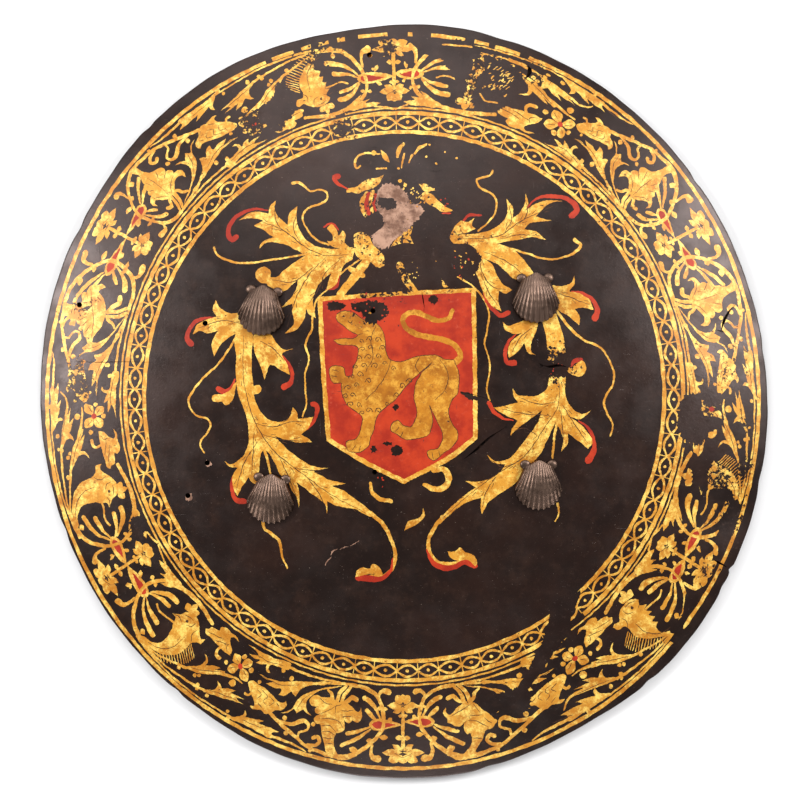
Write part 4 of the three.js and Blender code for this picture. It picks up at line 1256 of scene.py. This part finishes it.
# %% Close the mesh
face_count = len(layout)
seen_as = {original: index for index, originals in enumerate(result[3]) for original in originals}
rim_of_face = np.array([seen_as[i] for i in range(RIM_STEPS)])
ring_count = len(RIM_PROFILE) + BACK_RINGS - 1
rings = [rim_of_face] + [face_count + k*RIM_STEPS + np.arange(RIM_STEPS) for k in range(ring_count)]
bands = []
band_paints = []
for k in range(ring_count):
    upper, lower = rings[k], rings[k + 1]
    upper_next, lower_next = np.roll(upper, -1), np.roll(lower, -1)
    bands.append(np.stack([upper, lower, lower_next], axis=1))
    bands.append(np.stack([upper, lower_next, upper_next], axis=1))
    band_paints.append(np.full(2*RIM_STEPS, GROUND if k < PAINTED_RINGS else WOOD))
last = np.full(RIM_STEPS, len(points) - 1)
bands.append(np.stack([last, np.roll(rings[-1], -1), rings[-1]], axis=1))
band_paints.append(np.full(RIM_STEPS, WOOD))
faces = np.concatenate([triangles] + bands)
all_paints = np.concatenate([paints] + band_paints)
board_mesh = bpy.data.meshes.new("painted_board")
board_mesh.from_pydata((points*MM).tolist(), [], faces.tolist())
board_mesh.polygons.foreach_set("material_index", all_paints.astype(np.int32))
board_mesh.polygons.foreach_set("use_smooth", np.ones(len(faces), bool))
print("board triangles:", len(faces))

# %% [markdown]
# ## Wear and the bake layout
# Two things ride on the mesh. The wear value says how worn the painting is at a place,
# and the finishes use it to let gilding flake off. The UV layout gives the painted face nearly the
# whole picture and the plain back a small corner, so that a bake keeps the fine lines.

# %% Wear values and UV layout
# place, reach, strength
WORN = [
    (252, 30, 30, 0.35), (-12, 140, 34, 0.7), (46, 112, 8, 0.6), (118, 27, 16, 0.9), (-26, 70, 16, 0.7),
    (150, 150, 40, 0.2), (-8, 95, 20, 0.8), (25, 110, 30, 0.6), (-47, 209, 10, 0.9),
]
# degrees clockwise, millimetres across the border, reach, strength
WORN_BORDER = [
    (12.6, 38, 9, 0.85), (12.5, 26, 9, 0.85), (12.4, 16, 6, 0.8), (11.5, 8, 9, 0.4), (22, 43, 12, 0.5),
    (104.2, 30, 14, 0.75), (101, 48, 9, 0.85), (94, 46, 7, 0.95), (110, 50, 18, 0.6), (92, 16, 10, 0.6),
    (244, 4, 8, 1), (272.5, 28, 13, 0.95), (276, 34, 9, 0.8), (331.5, 15, 12, 0.95), (335, 5, 9, 0.9),
    (345.4, 43, 9, 0.9), (357.5, 44, 9, 0.9), (347, 54, 22, 0.5), (286, 36, 10, 0.5), (119, 46, 10, 0.5),
]
WORN += [(*on_border(turn, level), reach, strength) for turn, level, reach, strength in WORN_BORDER]
wear = np.zeros(len(points))
for x, y, reach, strength in WORN:
    wear = np.maximum(wear, strength*np.exp(-(np.hypot(points[:, 0] - x, points[:, 1] - y)/reach)**2))
board_mesh.attributes.new("wear", "FLOAT", "POINT").data.foreach_set("value", wear.astype(np.float32))
FRONT_SIZE, FRONT_MARGIN = 0.46, 0.01
BACK_SIZE, BACK_MARGIN = 0.113, 0.003
UV_PER_MM = 0.001
share = np.hypot(points[:, 0], points[:, 1])/rim_radius(np.arctan2(points[:, 1], points[:, 0]))
direction = points[:, :2]/np.maximum(np.hypot(points[:, 0], points[:, 1]), 1e-6)[:, None]
depth_below = np.clip(RIM_FACE - points[:, 2], 0, RIM_FACE)
front_uv = FRONT_SIZE + FRONT_MARGIN + direction*(share*FRONT_SIZE + depth_below*UV_PER_MM)[:, None]
back_uv = 1 - BACK_SIZE - BACK_MARGIN + direction*(share*BACK_SIZE)[:, None]
corners = faces.reshape(-1)
on_back = np.repeat(np.arange(len(faces)) >= len(triangles) + 2*FRONT_RINGS*RIM_STEPS, 3)
uv = np.where(on_back[:, None], back_uv[corners], front_uv[corners])
board_mesh.uv_layers.new(name="OFBake").data.foreach_set("uv", uv.astype(np.float32).reshape(-1))
board_mesh.normals_split_custom_set_from_vertices(point_normals.tolist())
board_mesh.validate()
print("wear reaches", round(float(wear.max()), 2), "and the UV layout", uv.min().round(3), "to",
      uv.max().round(3))

# %% [markdown]
# ## Finishes as expressions
# Node trees are easier to read as sums. A small class wraps a node's socket and lets Python's own
# signs add the Math nodes, and one method adds any other node. The same class serves the materials and
# the geometry of the shells.

# %% A wire that can be calculated with


class Wire:
    """An output socket of a node tree that takes part in Python expressions."""

    def __init__(self, tree, socket=None):
        self.tree = tree
        self.socket = socket

    def node(self, kind, settings=None, values=None, output=0):
        """Adds a node: its settings, then each socket's value or links. Gives one of its outputs."""
        made = self.tree.nodes.new(kind)
        for name, value in (settings or {}).items():
            setattr(made, name, value)
        for key, value in (values or {}).items():
            for item in value if isinstance(value, list) else [value]:
                if isinstance(item, Wire):
                    self.tree.links.new(item.socket, made.inputs[key])
                else:
                    made.inputs[key].default_value = item
        return Wire(self.tree, made.outputs[output]) if made.outputs else made

    def math(self, operation, first, second=0.0):
        return self.node("ShaderNodeMath", {"operation": operation}, {0: first, 1: second})

    def __add__(self, other):
        return self.math("ADD", self, other)

    def __sub__(self, other):
        return self.math("SUBTRACT", self, other)

    def __rsub__(self, other):
        return self.math("SUBTRACT", other, self)

    def __mul__(self, other):
        return self.math("MULTIPLY", self, other)

    def __truediv__(self, other):
        return self.math("DIVIDE", self, other)

    def __pow__(self, other):
        return self.math("POWER", self, other)

    __radd__ = __add__
    __rmul__ = __mul__

    def between(self, low, high):
        """0 below low, 1 above high and a soft step from one to the other."""
        return self.node("ShaderNodeMapRange", {"interpolation_type": "SMOOTHSTEP"},
                         {"Value": self, "From Min": low, "From Max": high})

    def mix(self, colour_at_0, colour_at_1):
        """This value as a mask between two colours."""
        return self.node("ShaderNodeMix", {"data_type": "RGBA"}, {0: self, 6: colour_at_0, 7: colour_at_1},
                         output=2)


def srgb(red, green, blue):
    """A colour given as 0 to 255, as the linear light that shaders use."""
    linear = [value/255/12.92 if value <= 10 else ((value/255 + 0.055)/1.055)**2.4
              for value in (red, green, blue)]
    return (*linear, 1.0)


print("mid grey is", round(srgb(128, 128, 128)[0], 3), "in linear light")

# %% [markdown]
# ## Paint, gilding and bare wood
# Every finish on the face reads the same place on the board, so scratches and stains run from the black
# ground across the gilding. Gilding and red are thin layers: where noise falls under a limit that
# rises with the wear, the black below shows through.

# %% Shared marks of age


class Finish:
    """A material on the board, with the coordinates and the marks of age that its finishes share."""

    def __init__(self, name):
        self.material = bpy.data.materials.new(name)
        self.material.use_nodes = True
        self.tree = self.material.node_tree
        self.tree.nodes.clear()
        self.wire = Wire(self.tree)
        self.place = self.wire.node("ShaderNodeTexCoord", output="Object")
        self.wear = self.wire.node("ShaderNodeAttribute", {"attribute_name": "wear"}, output="Fac")

    def noise(self, scale, detail=4.0, roughness=0.55, stretch=(1, 1, 1), turn=0.0, shift=0.0):
        spot = self.wire.node("ShaderNodeMapping", None, {"Vector": self.place, "Scale": stretch,
                              "Location": (shift, shift, shift), "Rotation": (0, 0, math.radians(turn))})
        return self.wire.node("ShaderNodeTexNoise", None, {"Vector": spot, "Scale": scale, "Detail": detail,
                                                            "Roughness": roughness})

    def scratches(self):
        """Thin hairlines in two directions, as a mask."""
        one = self.noise(60, 3, 0.6, (1, 14, 1), 34)
        two = self.noise(52, 3, 0.6, (16, 1, 1), 12, 0.3)
        return one.between(0.70, 0.75) + two.between(0.71, 0.76)

    def black(self):
        """The colour of the ground, with brown stains, dust specks and scuffs."""
        stain = self.noise(14, 6, 0.6).between(0.40, 0.70)
        colour = stain.mix(srgb(19, 9, 6), srgb(32, 16, 10))
        cloud = self.noise(70, 8, 0.7, shift=0.6).between(0.46, 0.70)
        colour = (cloud*0.5).mix(colour, srgb(46, 29, 21))
        scuff = self.noise(210, 6, 0.7, shift=0.2).between(0.57, 0.76)*(0.3 + 0.6*self.wear)
        colour = scuff.mix(colour, srgb(72, 55, 48))
        dust = self.noise(900, 2, 0.5).between(0.735, 0.76)
        return (dust*0.6).mix(colour, srgb(120, 105, 95))

    def bumps(self, fine):
        """The slow waves of the board with a finer height of the finish itself."""
        wave = self.noise(22, 3)
        rough = self.wire.node("ShaderNodeBump", None, {"Strength": 0.35, "Distance": 0.0006,
                                                        "Height": wave})
        return self.wire.node("ShaderNodeBump", None, {"Strength": 0.5, "Distance": 0.00015, "Height": fine,
                                                       "Normal": rough})

    def close(self, colour, roughness, normal, **fixed):
        """Ends the material in a Principled shader."""
        made = {"Base Color": colour, "Roughness": roughness, "Normal": normal, "Specular IOR Level": 0.4,
                "Specular Tint": (1.0, 0.82, 0.78, 1.0)}
        shader = self.wire.node("ShaderNodeBsdfPrincipled", None, {**made, **fixed})
        self.wire.node("ShaderNodeOutputMaterial", None, {"Surface": shader})
        return self.material


print("shared marks ready")

# %% The finishes of the board


def black_paint():
    finish = Finish("black_ground")
    fine = finish.noise(420, 5, 0.6)
    rough = 0.28 + 0.16*finish.noise(45, 5).between(0.35, 0.75)
    return finish.close(finish.black(), rough, finish.bumps(fine - 0.6*finish.scratches()))


def gilding(name="gilding", deep=srgb(178, 112, 30), middle=srgb(206, 144, 48), light=srgb(244, 208, 104)):
    finish = Finish(name)
    cloud = finish.noise(46, 6, 0.62)
    colour = cloud.between(0.36, 0.62).mix(deep, middle)
    bright = finish.noise(95, 9, 0.78, shift=0.4).between(0.45, 0.63)
    colour = bright.mix(colour, light)
    speck = finish.noise(520, 6, 0.7, shift=0.2).between(0.50, 0.66)
    colour = (speck*0.5).mix(colour, deep)
    dirt = finish.noise(260, 6, 0.65, shift=0.7).between(0.57, 0.72)
    colour = (dirt*0.7).mix(colour, srgb(116, 64, 20))
    flake = finish.noise(330, 6, 0.62, shift=0.9)
    limit = 0.32 + 0.32*finish.wear
    gone = (limit - flake).between(-0.015, 0.02)
    line = finish.scratches()*0.75
    colour = line.mix(gone.mix(colour, finish.black()), srgb(66, 42, 26))
    rough = 0.30 + 0.15*cloud
    return finish.close(colour, rough, finish.bumps(flake - gone - line), Metallic=0.1)


def tawny():
    return gilding("tawny_gilding", srgb(150, 88, 20), srgb(188, 122, 32), srgb(212, 154, 56))


def vermilion():
    finish = Finish("vermilion")
    cloud = finish.noise(60, 6, 0.62, shift=0.2)
    colour = cloud.between(0.38, 0.64).mix(srgb(146, 30, 8), srgb(176, 49, 14))
    pale = finish.noise(190, 6, 0.7, shift=0.5).between(0.58, 0.72)
    colour = (pale*0.55).mix(colour, srgb(196, 88, 62))
    flake = finish.noise(360, 6, 0.62, shift=0.1)
    gone = (0.30 + 0.22*finish.wear - flake).between(-0.015, 0.02)
    line = finish.scratches()*0.8
    colour = line.mix(gone.mix(colour, finish.black()), srgb(70, 24, 20))
    return finish.close(colour, 0.42 + 0.12*cloud, finish.bumps(flake - gone - line))


def brown_line():
    finish = Finish("brown_line")
    colour = finish.noise(240, 4).between(0.35, 0.65).mix(srgb(34, 18, 9), srgb(78, 46, 18))
    return finish.close(colour, finish.noise(90)*0.2 + 0.4, finish.bumps(finish.noise(420)))


def bare_ground():
    finish = Finish("bare_ground")
    cloud = finish.noise(120, 7, 0.7)
    colour = cloud.between(0.36, 0.64).mix(srgb(108, 76, 60), srgb(174, 136, 114))
    dark = finish.noise(300, 6, 0.7, shift=0.3).between(0.58, 0.66)
    return finish.close((dark*0.85).mix(colour, srgb(60, 44, 40)), 0.7 + 0.1*cloud, finish.bumps(cloud*3))


# Near-black painted shade for the walls and floors of the nail holes and slits, much darker than the
# board's wood
def hole_painted_shade():
    finish = Finish("hole_painted_shade")
    colour = finish.noise(300, 5).between(0.4, 0.7).mix(srgb(10, 6, 5), srgb(32, 20, 15))
    dull = {"Specular IOR Level": 0.05}
    return finish.close(colour, 0.8 + 0.1*finish.noise(200), finish.bumps(finish.noise(300)), **dull)


def back_wood():
    finish = Finish("back_wood")
    grain = finish.noise(26, 8, 0.62, (10, 1, 1))
    ring = finish.noise(9, 3, 0.5, (6, 0.7, 1), 2, 0.5)
    colour = grain.between(0.35, 0.66).mix(srgb(58, 40, 28), srgb(104, 76, 52))
    colour = (ring.between(0.48, 0.56)*0.5).mix(colour, srgb(44, 30, 22))
    pale = finish.noise(38, 6, 0.7, shift=0.8).between(0.60, 0.75)
    return finish.close((pale*0.4).mix(colour, srgb(132, 108, 82)), 0.66 + 0.16*grain,
                        finish.bumps(grain*4))


board = bpy.data.objects.new("painted_board", board_mesh)
bpy.context.scene.collection.objects.link(board)
for finish in (black_paint, gilding, vermilion, brown_line, bare_ground, hole_painted_shade, back_wood, tawny):
    board_mesh.materials.append(finish())
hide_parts("shield_board")
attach(board, "root")
print("finishes on the board:", [material.name for material in board_mesh.materials])

# %% [markdown]
# ## Scallop-shell rivets
# Four cast shells are riveted through the board. A shell follows a rule: ribs fan out from one point,
# and the back swells and falls again towards the scalloped edge. So one Geometry Nodes tree
# bends a grid into the shell, adds the two ears and the hammered shank, and its named inputs hold the
# sizes. The outermost row of the grid is folded down as the shell's wall.

# %% The bronze
EARTH_BROWN = srgb(34, 23, 17)


def dark_bronze():
    finish = Finish("dark_bronze")
    crest = finish.wire.node("ShaderNodeAttribute", {"attribute_name": "crest"}, output="Fac")
    cloud = finish.noise(160, 6, 0.6)
    colour = crest.between(0.25, 0.95).mix(EARTH_BROWN, srgb(136, 111, 97))
    colour = (cloud.between(0.45, 0.70)*0.3).mix(colour, srgb(126, 102, 86))
    dirt = finish.noise(90, 5, 0.65, shift=0.6).between(0.50, 0.68)
    colour = (dirt*0.5).mix(colour, EARTH_BROWN)
    normal = finish.wire.node("ShaderNodeBump", None, {"Strength": 0.15, "Distance": 0.0002,
                                                       "Height": cloud})
    return finish.close(colour, 0.30 + 0.2*cloud, normal, Metallic=0.9)


bronze = dark_bronze()
print("finish of the shells:", bronze.name)

# %% The shell's tree
SHELL_SIZES = {"Width": 36.5, "Top": 19.0, "Bottom": 19.0, "Waist": 2.0, "Apex": 31.0, "Edge": 1.8,
               "Rise": 8.0, "Rib Depth": 0.8, "Ear Out": 10.4, "Ear Up": 15.4, "Ear Radius": 4.1,
               "Ear Thick": 3.4, "Shank Radius": 3.0, "Behind": 10.4, "Clench Radius": 5.8,
               "Clench Thick": 2.0, "Gap": 0.4}
RIBS = 13
shell_tree = bpy.data.node_groups.new("scallop_rivet", "GeometryNodeTree")
shell_tree.interface.new_socket("Geometry", in_out="OUTPUT", socket_type="NodeSocketGeometry")
SOCKETS = {}
for name in [*SHELL_SIZES, "Ribs"]:
    kind = "NodeSocketInt" if name == "Ribs" else "NodeSocketFloat"
    SOCKETS[name] = shell_tree.interface.new_socket(name, in_out="INPUT", socket_type=kind).identifier
print("inputs of the shell:", list(SOCKETS))

# %% Ribs from a grid
wire = Wire(shell_tree)
entry = shell_tree.nodes.new("NodeGroupInput")
size = {name: Wire(shell_tree, entry.outputs[name]) for name in SOCKETS}
PER_RIB = 8
ROWS = 40
SCALLOP = 0.022
# in metres, as the tree works
HINGE_DROP = 0.004
GROWTH_STEP = 0.00006
columns = size["Ribs"]*PER_RIB + 3
grid = wire.node("GeometryNodeMeshGrid", None, {"Size X": 1.0, "Size Y": 1.0, "Vertices X": columns,
                                                "Vertices Y": ROWS})
place = wire.node("GeometryNodeInputPosition")
apart = wire.node("ShaderNodeSeparateXYZ", None, {0: place}).socket.node
x, y = Wire(shell_tree, apart.outputs[0]), Wire(shell_tree, apart.outputs[1])
furthest = wire.math("MAXIMUM", wire.math("ABSOLUTE", x), wire.math("ABSOLUTE", y))
folded = wire.math("GREATER_THAN", furthest, 0.4999)
HALF = {"Min": -0.5, "Max": 0.5}
across = wire.node("ShaderNodeClamp", None, {"Value": x*(columns - 1)/(columns - 3), **HALF})
down = 0.5 - wire.node("ShaderNodeClamp", None, {"Value": y*((ROWS - 1)/(ROWS - 3)), **HALF})
turn = across*math.pi
sine, cosine = wire.math("SINE", turn), wire.math("COSINE", turn)
edge_x = sine*size["Width"]*0.5
edge_y = 0 - size["Waist"] - (size["Bottom"] - size["Waist"])*cosine
hinge_y = size["Top"] - HINGE_DROP*sine*sine
start = (size["Apex"] - hinge_y)/(size["Apex"] - edge_y)
share = start + (1 - start)*down
ridge = wire.math("COSINE", across*size["Ribs"]*(2*math.pi))*0.5 + 0.5
crest = (wire.math("MAXIMUM", ridge, 0.0)**0.6)*(0.3 + 0.7*down)
crown = wire.math("SINE", math.pi*(0.2 + 0.76*down))*(wire.math("MAXIMUM", cosine, 0.0)**0.6)
growth = GROWTH_STEP*wire.math("SINE", down*46.0)
top = size["Edge"] + size["Rise"]*crown + size["Rib Depth"]*crest + growth
scallop = 1 + SCALLOP*(ridge - 0.5)*down
flat = {"X": edge_x*share**0.8*scallop, "Y": size["Apex"] + (edge_y - size["Apex"])*share*scallop}
print("nodes so far:", len(shell_tree.nodes))

# %% Ears, shank and clenched end
BALL = {"Segments": 24, "Rings": 12}
EAR_LIFT = 0.0012
PLAIN_CREST = 0.6
above = wire.node("ShaderNodeCombineXYZ", None, {**flat, "Z": size["Gap"] + top*(1 - folded)})
under = wire.node("ShaderNodeCombineXYZ", None, {**flat, "Z": size["Gap"]})
fan = wire.node("GeometryNodeSetPosition", None, {"Geometry": grid, "Position": above})
fan = wire.node("GeometryNodeStoreNamedAttribute", {"data_type": "FLOAT", "domain": "POINT"},
                {"Geometry": fan, "Name": "crest", "Value": crest})
sole = wire.node("GeometryNodeSetPosition", None, {"Geometry": grid, "Position": under})
sole = wire.node("GeometryNodeFlipFaces", None, {"Mesh": sole})
body = wire.node("GeometryNodeJoinGeometry", None, {0: [fan, sole]})
pieces = [wire.node("GeometryNodeMergeByDistance", None, {"Geometry": body, "Distance": 0.00002})]
for side in (-1, 1):
    ear = wire.node("GeometryNodeMeshUVSphere", None, {**BALL, "Radius": size["Ear Radius"]})
    where = wire.node("ShaderNodeCombineXYZ", None, {"X": side*size["Ear Out"], "Y": size["Ear Up"],
                                                     "Z": size["Gap"] + EAR_LIFT})
    squash = wire.node("ShaderNodeCombineXYZ", None, {"X": 1.0, "Y": 0.9,
                                                      "Z": size["Ear Thick"]/size["Ear Radius"]*0.6})
    ear = wire.node("GeometryNodeTransform", None, {"Geometry": ear, "Translation": where, "Scale": squash})
    pieces.append(wire.node("GeometryNodeStoreNamedAttribute", {"data_type": "FLOAT", "domain": "POINT"},
                            {"Geometry": ear, "Name": "crest", "Value": PLAIN_CREST}))
shank = wire.node("GeometryNodeMeshCylinder", None, {"Vertices": 24, "Radius": size["Shank Radius"],
                                                     "Depth": size["Behind"]})
middle = wire.node("ShaderNodeCombineXYZ", None, {"Z": 0 - size["Behind"]*0.5})
pieces.append(wire.node("GeometryNodeTransform", None, {"Geometry": shank, "Translation": middle}))
clench = wire.node("GeometryNodeMeshUVSphere", None, {**BALL, "Radius": size["Clench Radius"]})
where = wire.node("ShaderNodeCombineXYZ", None, {"Z": 0 - size["Behind"] - size["Clench Thick"]*0.4})
squash = wire.node("ShaderNodeCombineXYZ", None, {"X": 1.0, "Y": 0.92,
                                                  "Z": size["Clench Thick"]/size["Clench Radius"]*0.55})
clench = wire.node("GeometryNodeTransform", None, {"Geometry": clench, "Translation": where,
                                                   "Scale": squash})
pieces.append(wire.node("GeometryNodeStoreNamedAttribute", {"data_type": "FLOAT", "domain": "POINT"},
                        {"Geometry": clench, "Name": "crest", "Value": PLAIN_CREST}))
whole = wire.node("GeometryNodeJoinGeometry", None, {0: pieces})
whole = wire.node("GeometryNodeRealizeInstances", None, {"Geometry": whole})
whole = wire.node("GeometryNodeSetMaterial", None, {"Geometry": whole, "Material": bronze})
wire.node("NodeGroupOutput", None, {"Geometry": whole})
print("the shell's tree has", len(shell_tree.nodes), "nodes")

# %% Four shells on the dome
# place on the face and turn in degrees, anticlockwise
RIVETS = {"upper_left": (-109.0, 68.6, -6), "upper_right": (100.9, 78.2, 1),
          "lower_left": (-102.2, -75.2, -5), "lower_right": (103.0, -64.8, 0)}


def stand_on_face(x, y, turn):
    """The matrix that stands a piece square to the face, its +Y turned from the painting's top."""
    up = Vector(upward(face_height, np.array(x), np.array(y)))
    along = Matrix.Rotation(math.radians(turn), 3, "Z") @ Vector((0, 1, 0))
    across = along.cross(up).normalized()
    basis = Matrix((across, up.cross(across), up)).transposed().to_4x4()
    return Matrix.Translation(Vector((x, y, float(face_height(x, y))))*MM) @ basis


for name, (x, y, turn) in RIVETS.items():
    shell = bpy.data.objects.new("scallop_" + name, bpy.data.meshes.new("scallop_" + name))
    bpy.context.scene.collection.objects.link(shell)
    modifier = shell.modifiers.new("ribs", "NODES")
    modifier.node_group = shell_tree
    for size_name, value in SHELL_SIZES.items():
        modifier[SOCKETS[size_name]] = value*MM
    modifier[SOCKETS["Ribs"]] = RIBS
    made = bpy.data.meshes.new_from_object(shell.evaluated_get(bpy.context.evaluated_depsgraph_get()))
    shell.modifiers.remove(modifier)
    shell.data = made
    made.transform(stand_on_face(x, y, turn))
    made.polygons.foreach_set("use_smooth", np.ones(len(made.polygons), bool))
    made.set_sharp_from_angle(angle=math.radians(50))
    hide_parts("scallop_rivet_" + name)
    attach(shell, "root")
    print(shell.name, len(made.polygons), "faces")

# %% [markdown]
# ## Floor, light and camera
# The shield lies on a plain white floor. Two long soft lights stand at the left and right, so the steep
# sides near the rim catch a pale sheen and the crown stays dark. A third, from the top of the painting,
# lifts the upper half, and a small low one fills the bottom. The camera hangs three metres up with a
# long lens.

# %% Floor
floor_mesh = bpy.data.meshes.new("floor")
FLOOR = 6.0
FLOOR_WHITE = (0.8, 0.795, 0.8, 1)
floor_corners = [(-FLOOR, -FLOOR, 0), (FLOOR, -FLOOR, 0), (FLOOR, FLOOR, 0), (-FLOOR, FLOOR, 0)]
floor_mesh.from_pydata(floor_corners, [], [(0, 1, 2, 3)])
floor = bpy.data.objects.new("floor", floor_mesh)
bpy.context.scene.collection.objects.link(floor)
paper = bpy.data.materials.new("white_floor")
paper.use_nodes = True
paper.node_tree.nodes["Principled BSDF"].inputs["Base Color"].default_value = FLOOR_WHITE
paper.node_tree.nodes["Principled BSDF"].inputs["Roughness"].default_value = 0.9
floor_mesh.materials.append(paper)
print("floor", 2*FLOOR, "m across")

# %% Lights
# place, length along the rim, height, power
LIGHTS = {"left": ((-2.0, 0.42, 1.42), 1.2, 0.6, 50), "right": ((1.92, 0.78, 1.42), 1.2, 0.6, 50),
          "top": ((-0.2, 1.6, 1.6), 1.7, 1.7, 27), "bottom": ((0, -2.2, 0.8), 0.8, 0.8, 24)}
for name, (where, along, tall, power) in LIGHTS.items():
    lamp = bpy.data.lights.new(name, "AREA")
    lamp.shape = "RECTANGLE"
    lamp.size = along
    lamp.size_y = tall
    lamp.energy = power
    light = bpy.data.objects.new("light_" + name, lamp)
    light.location = where
    light.rotation_euler = (-Vector(where)).to_track_quat("-Z", "Y").to_euler()
    light.visible_camera = False
    bpy.context.scene.collection.objects.link(light)
SKY = 0.3
world = bpy.data.worlds.new("studio")
world.use_nodes = True
world.node_tree.nodes["Background"].inputs["Color"].default_value = (1, 1, 1, 1)
world.node_tree.nodes["Background"].inputs["Strength"].default_value = SKY
bpy.context.scene.world = world
bpy.context.scene.view_settings.view_transform = "Standard"
print("lights:", list(LIGHTS))

# %% Camera
VIEW_WIDTH = 624.3
SENSOR = 36.0
lens = bpy.data.cameras.new("camera")
lens.sensor_width = SENSOR
lens.lens = SENSOR*(EYE[2] - RIM_FACE)/VIEW_WIDTH
lens.clip_end = 50
camera = bpy.data.objects.new("camera", lens)
camera.location = Vector(EYE)*MM
bpy.context.scene.collection.objects.link(camera)
bpy.context.scene.camera = camera
print("lens", round(lens.lens, 1), "mm")
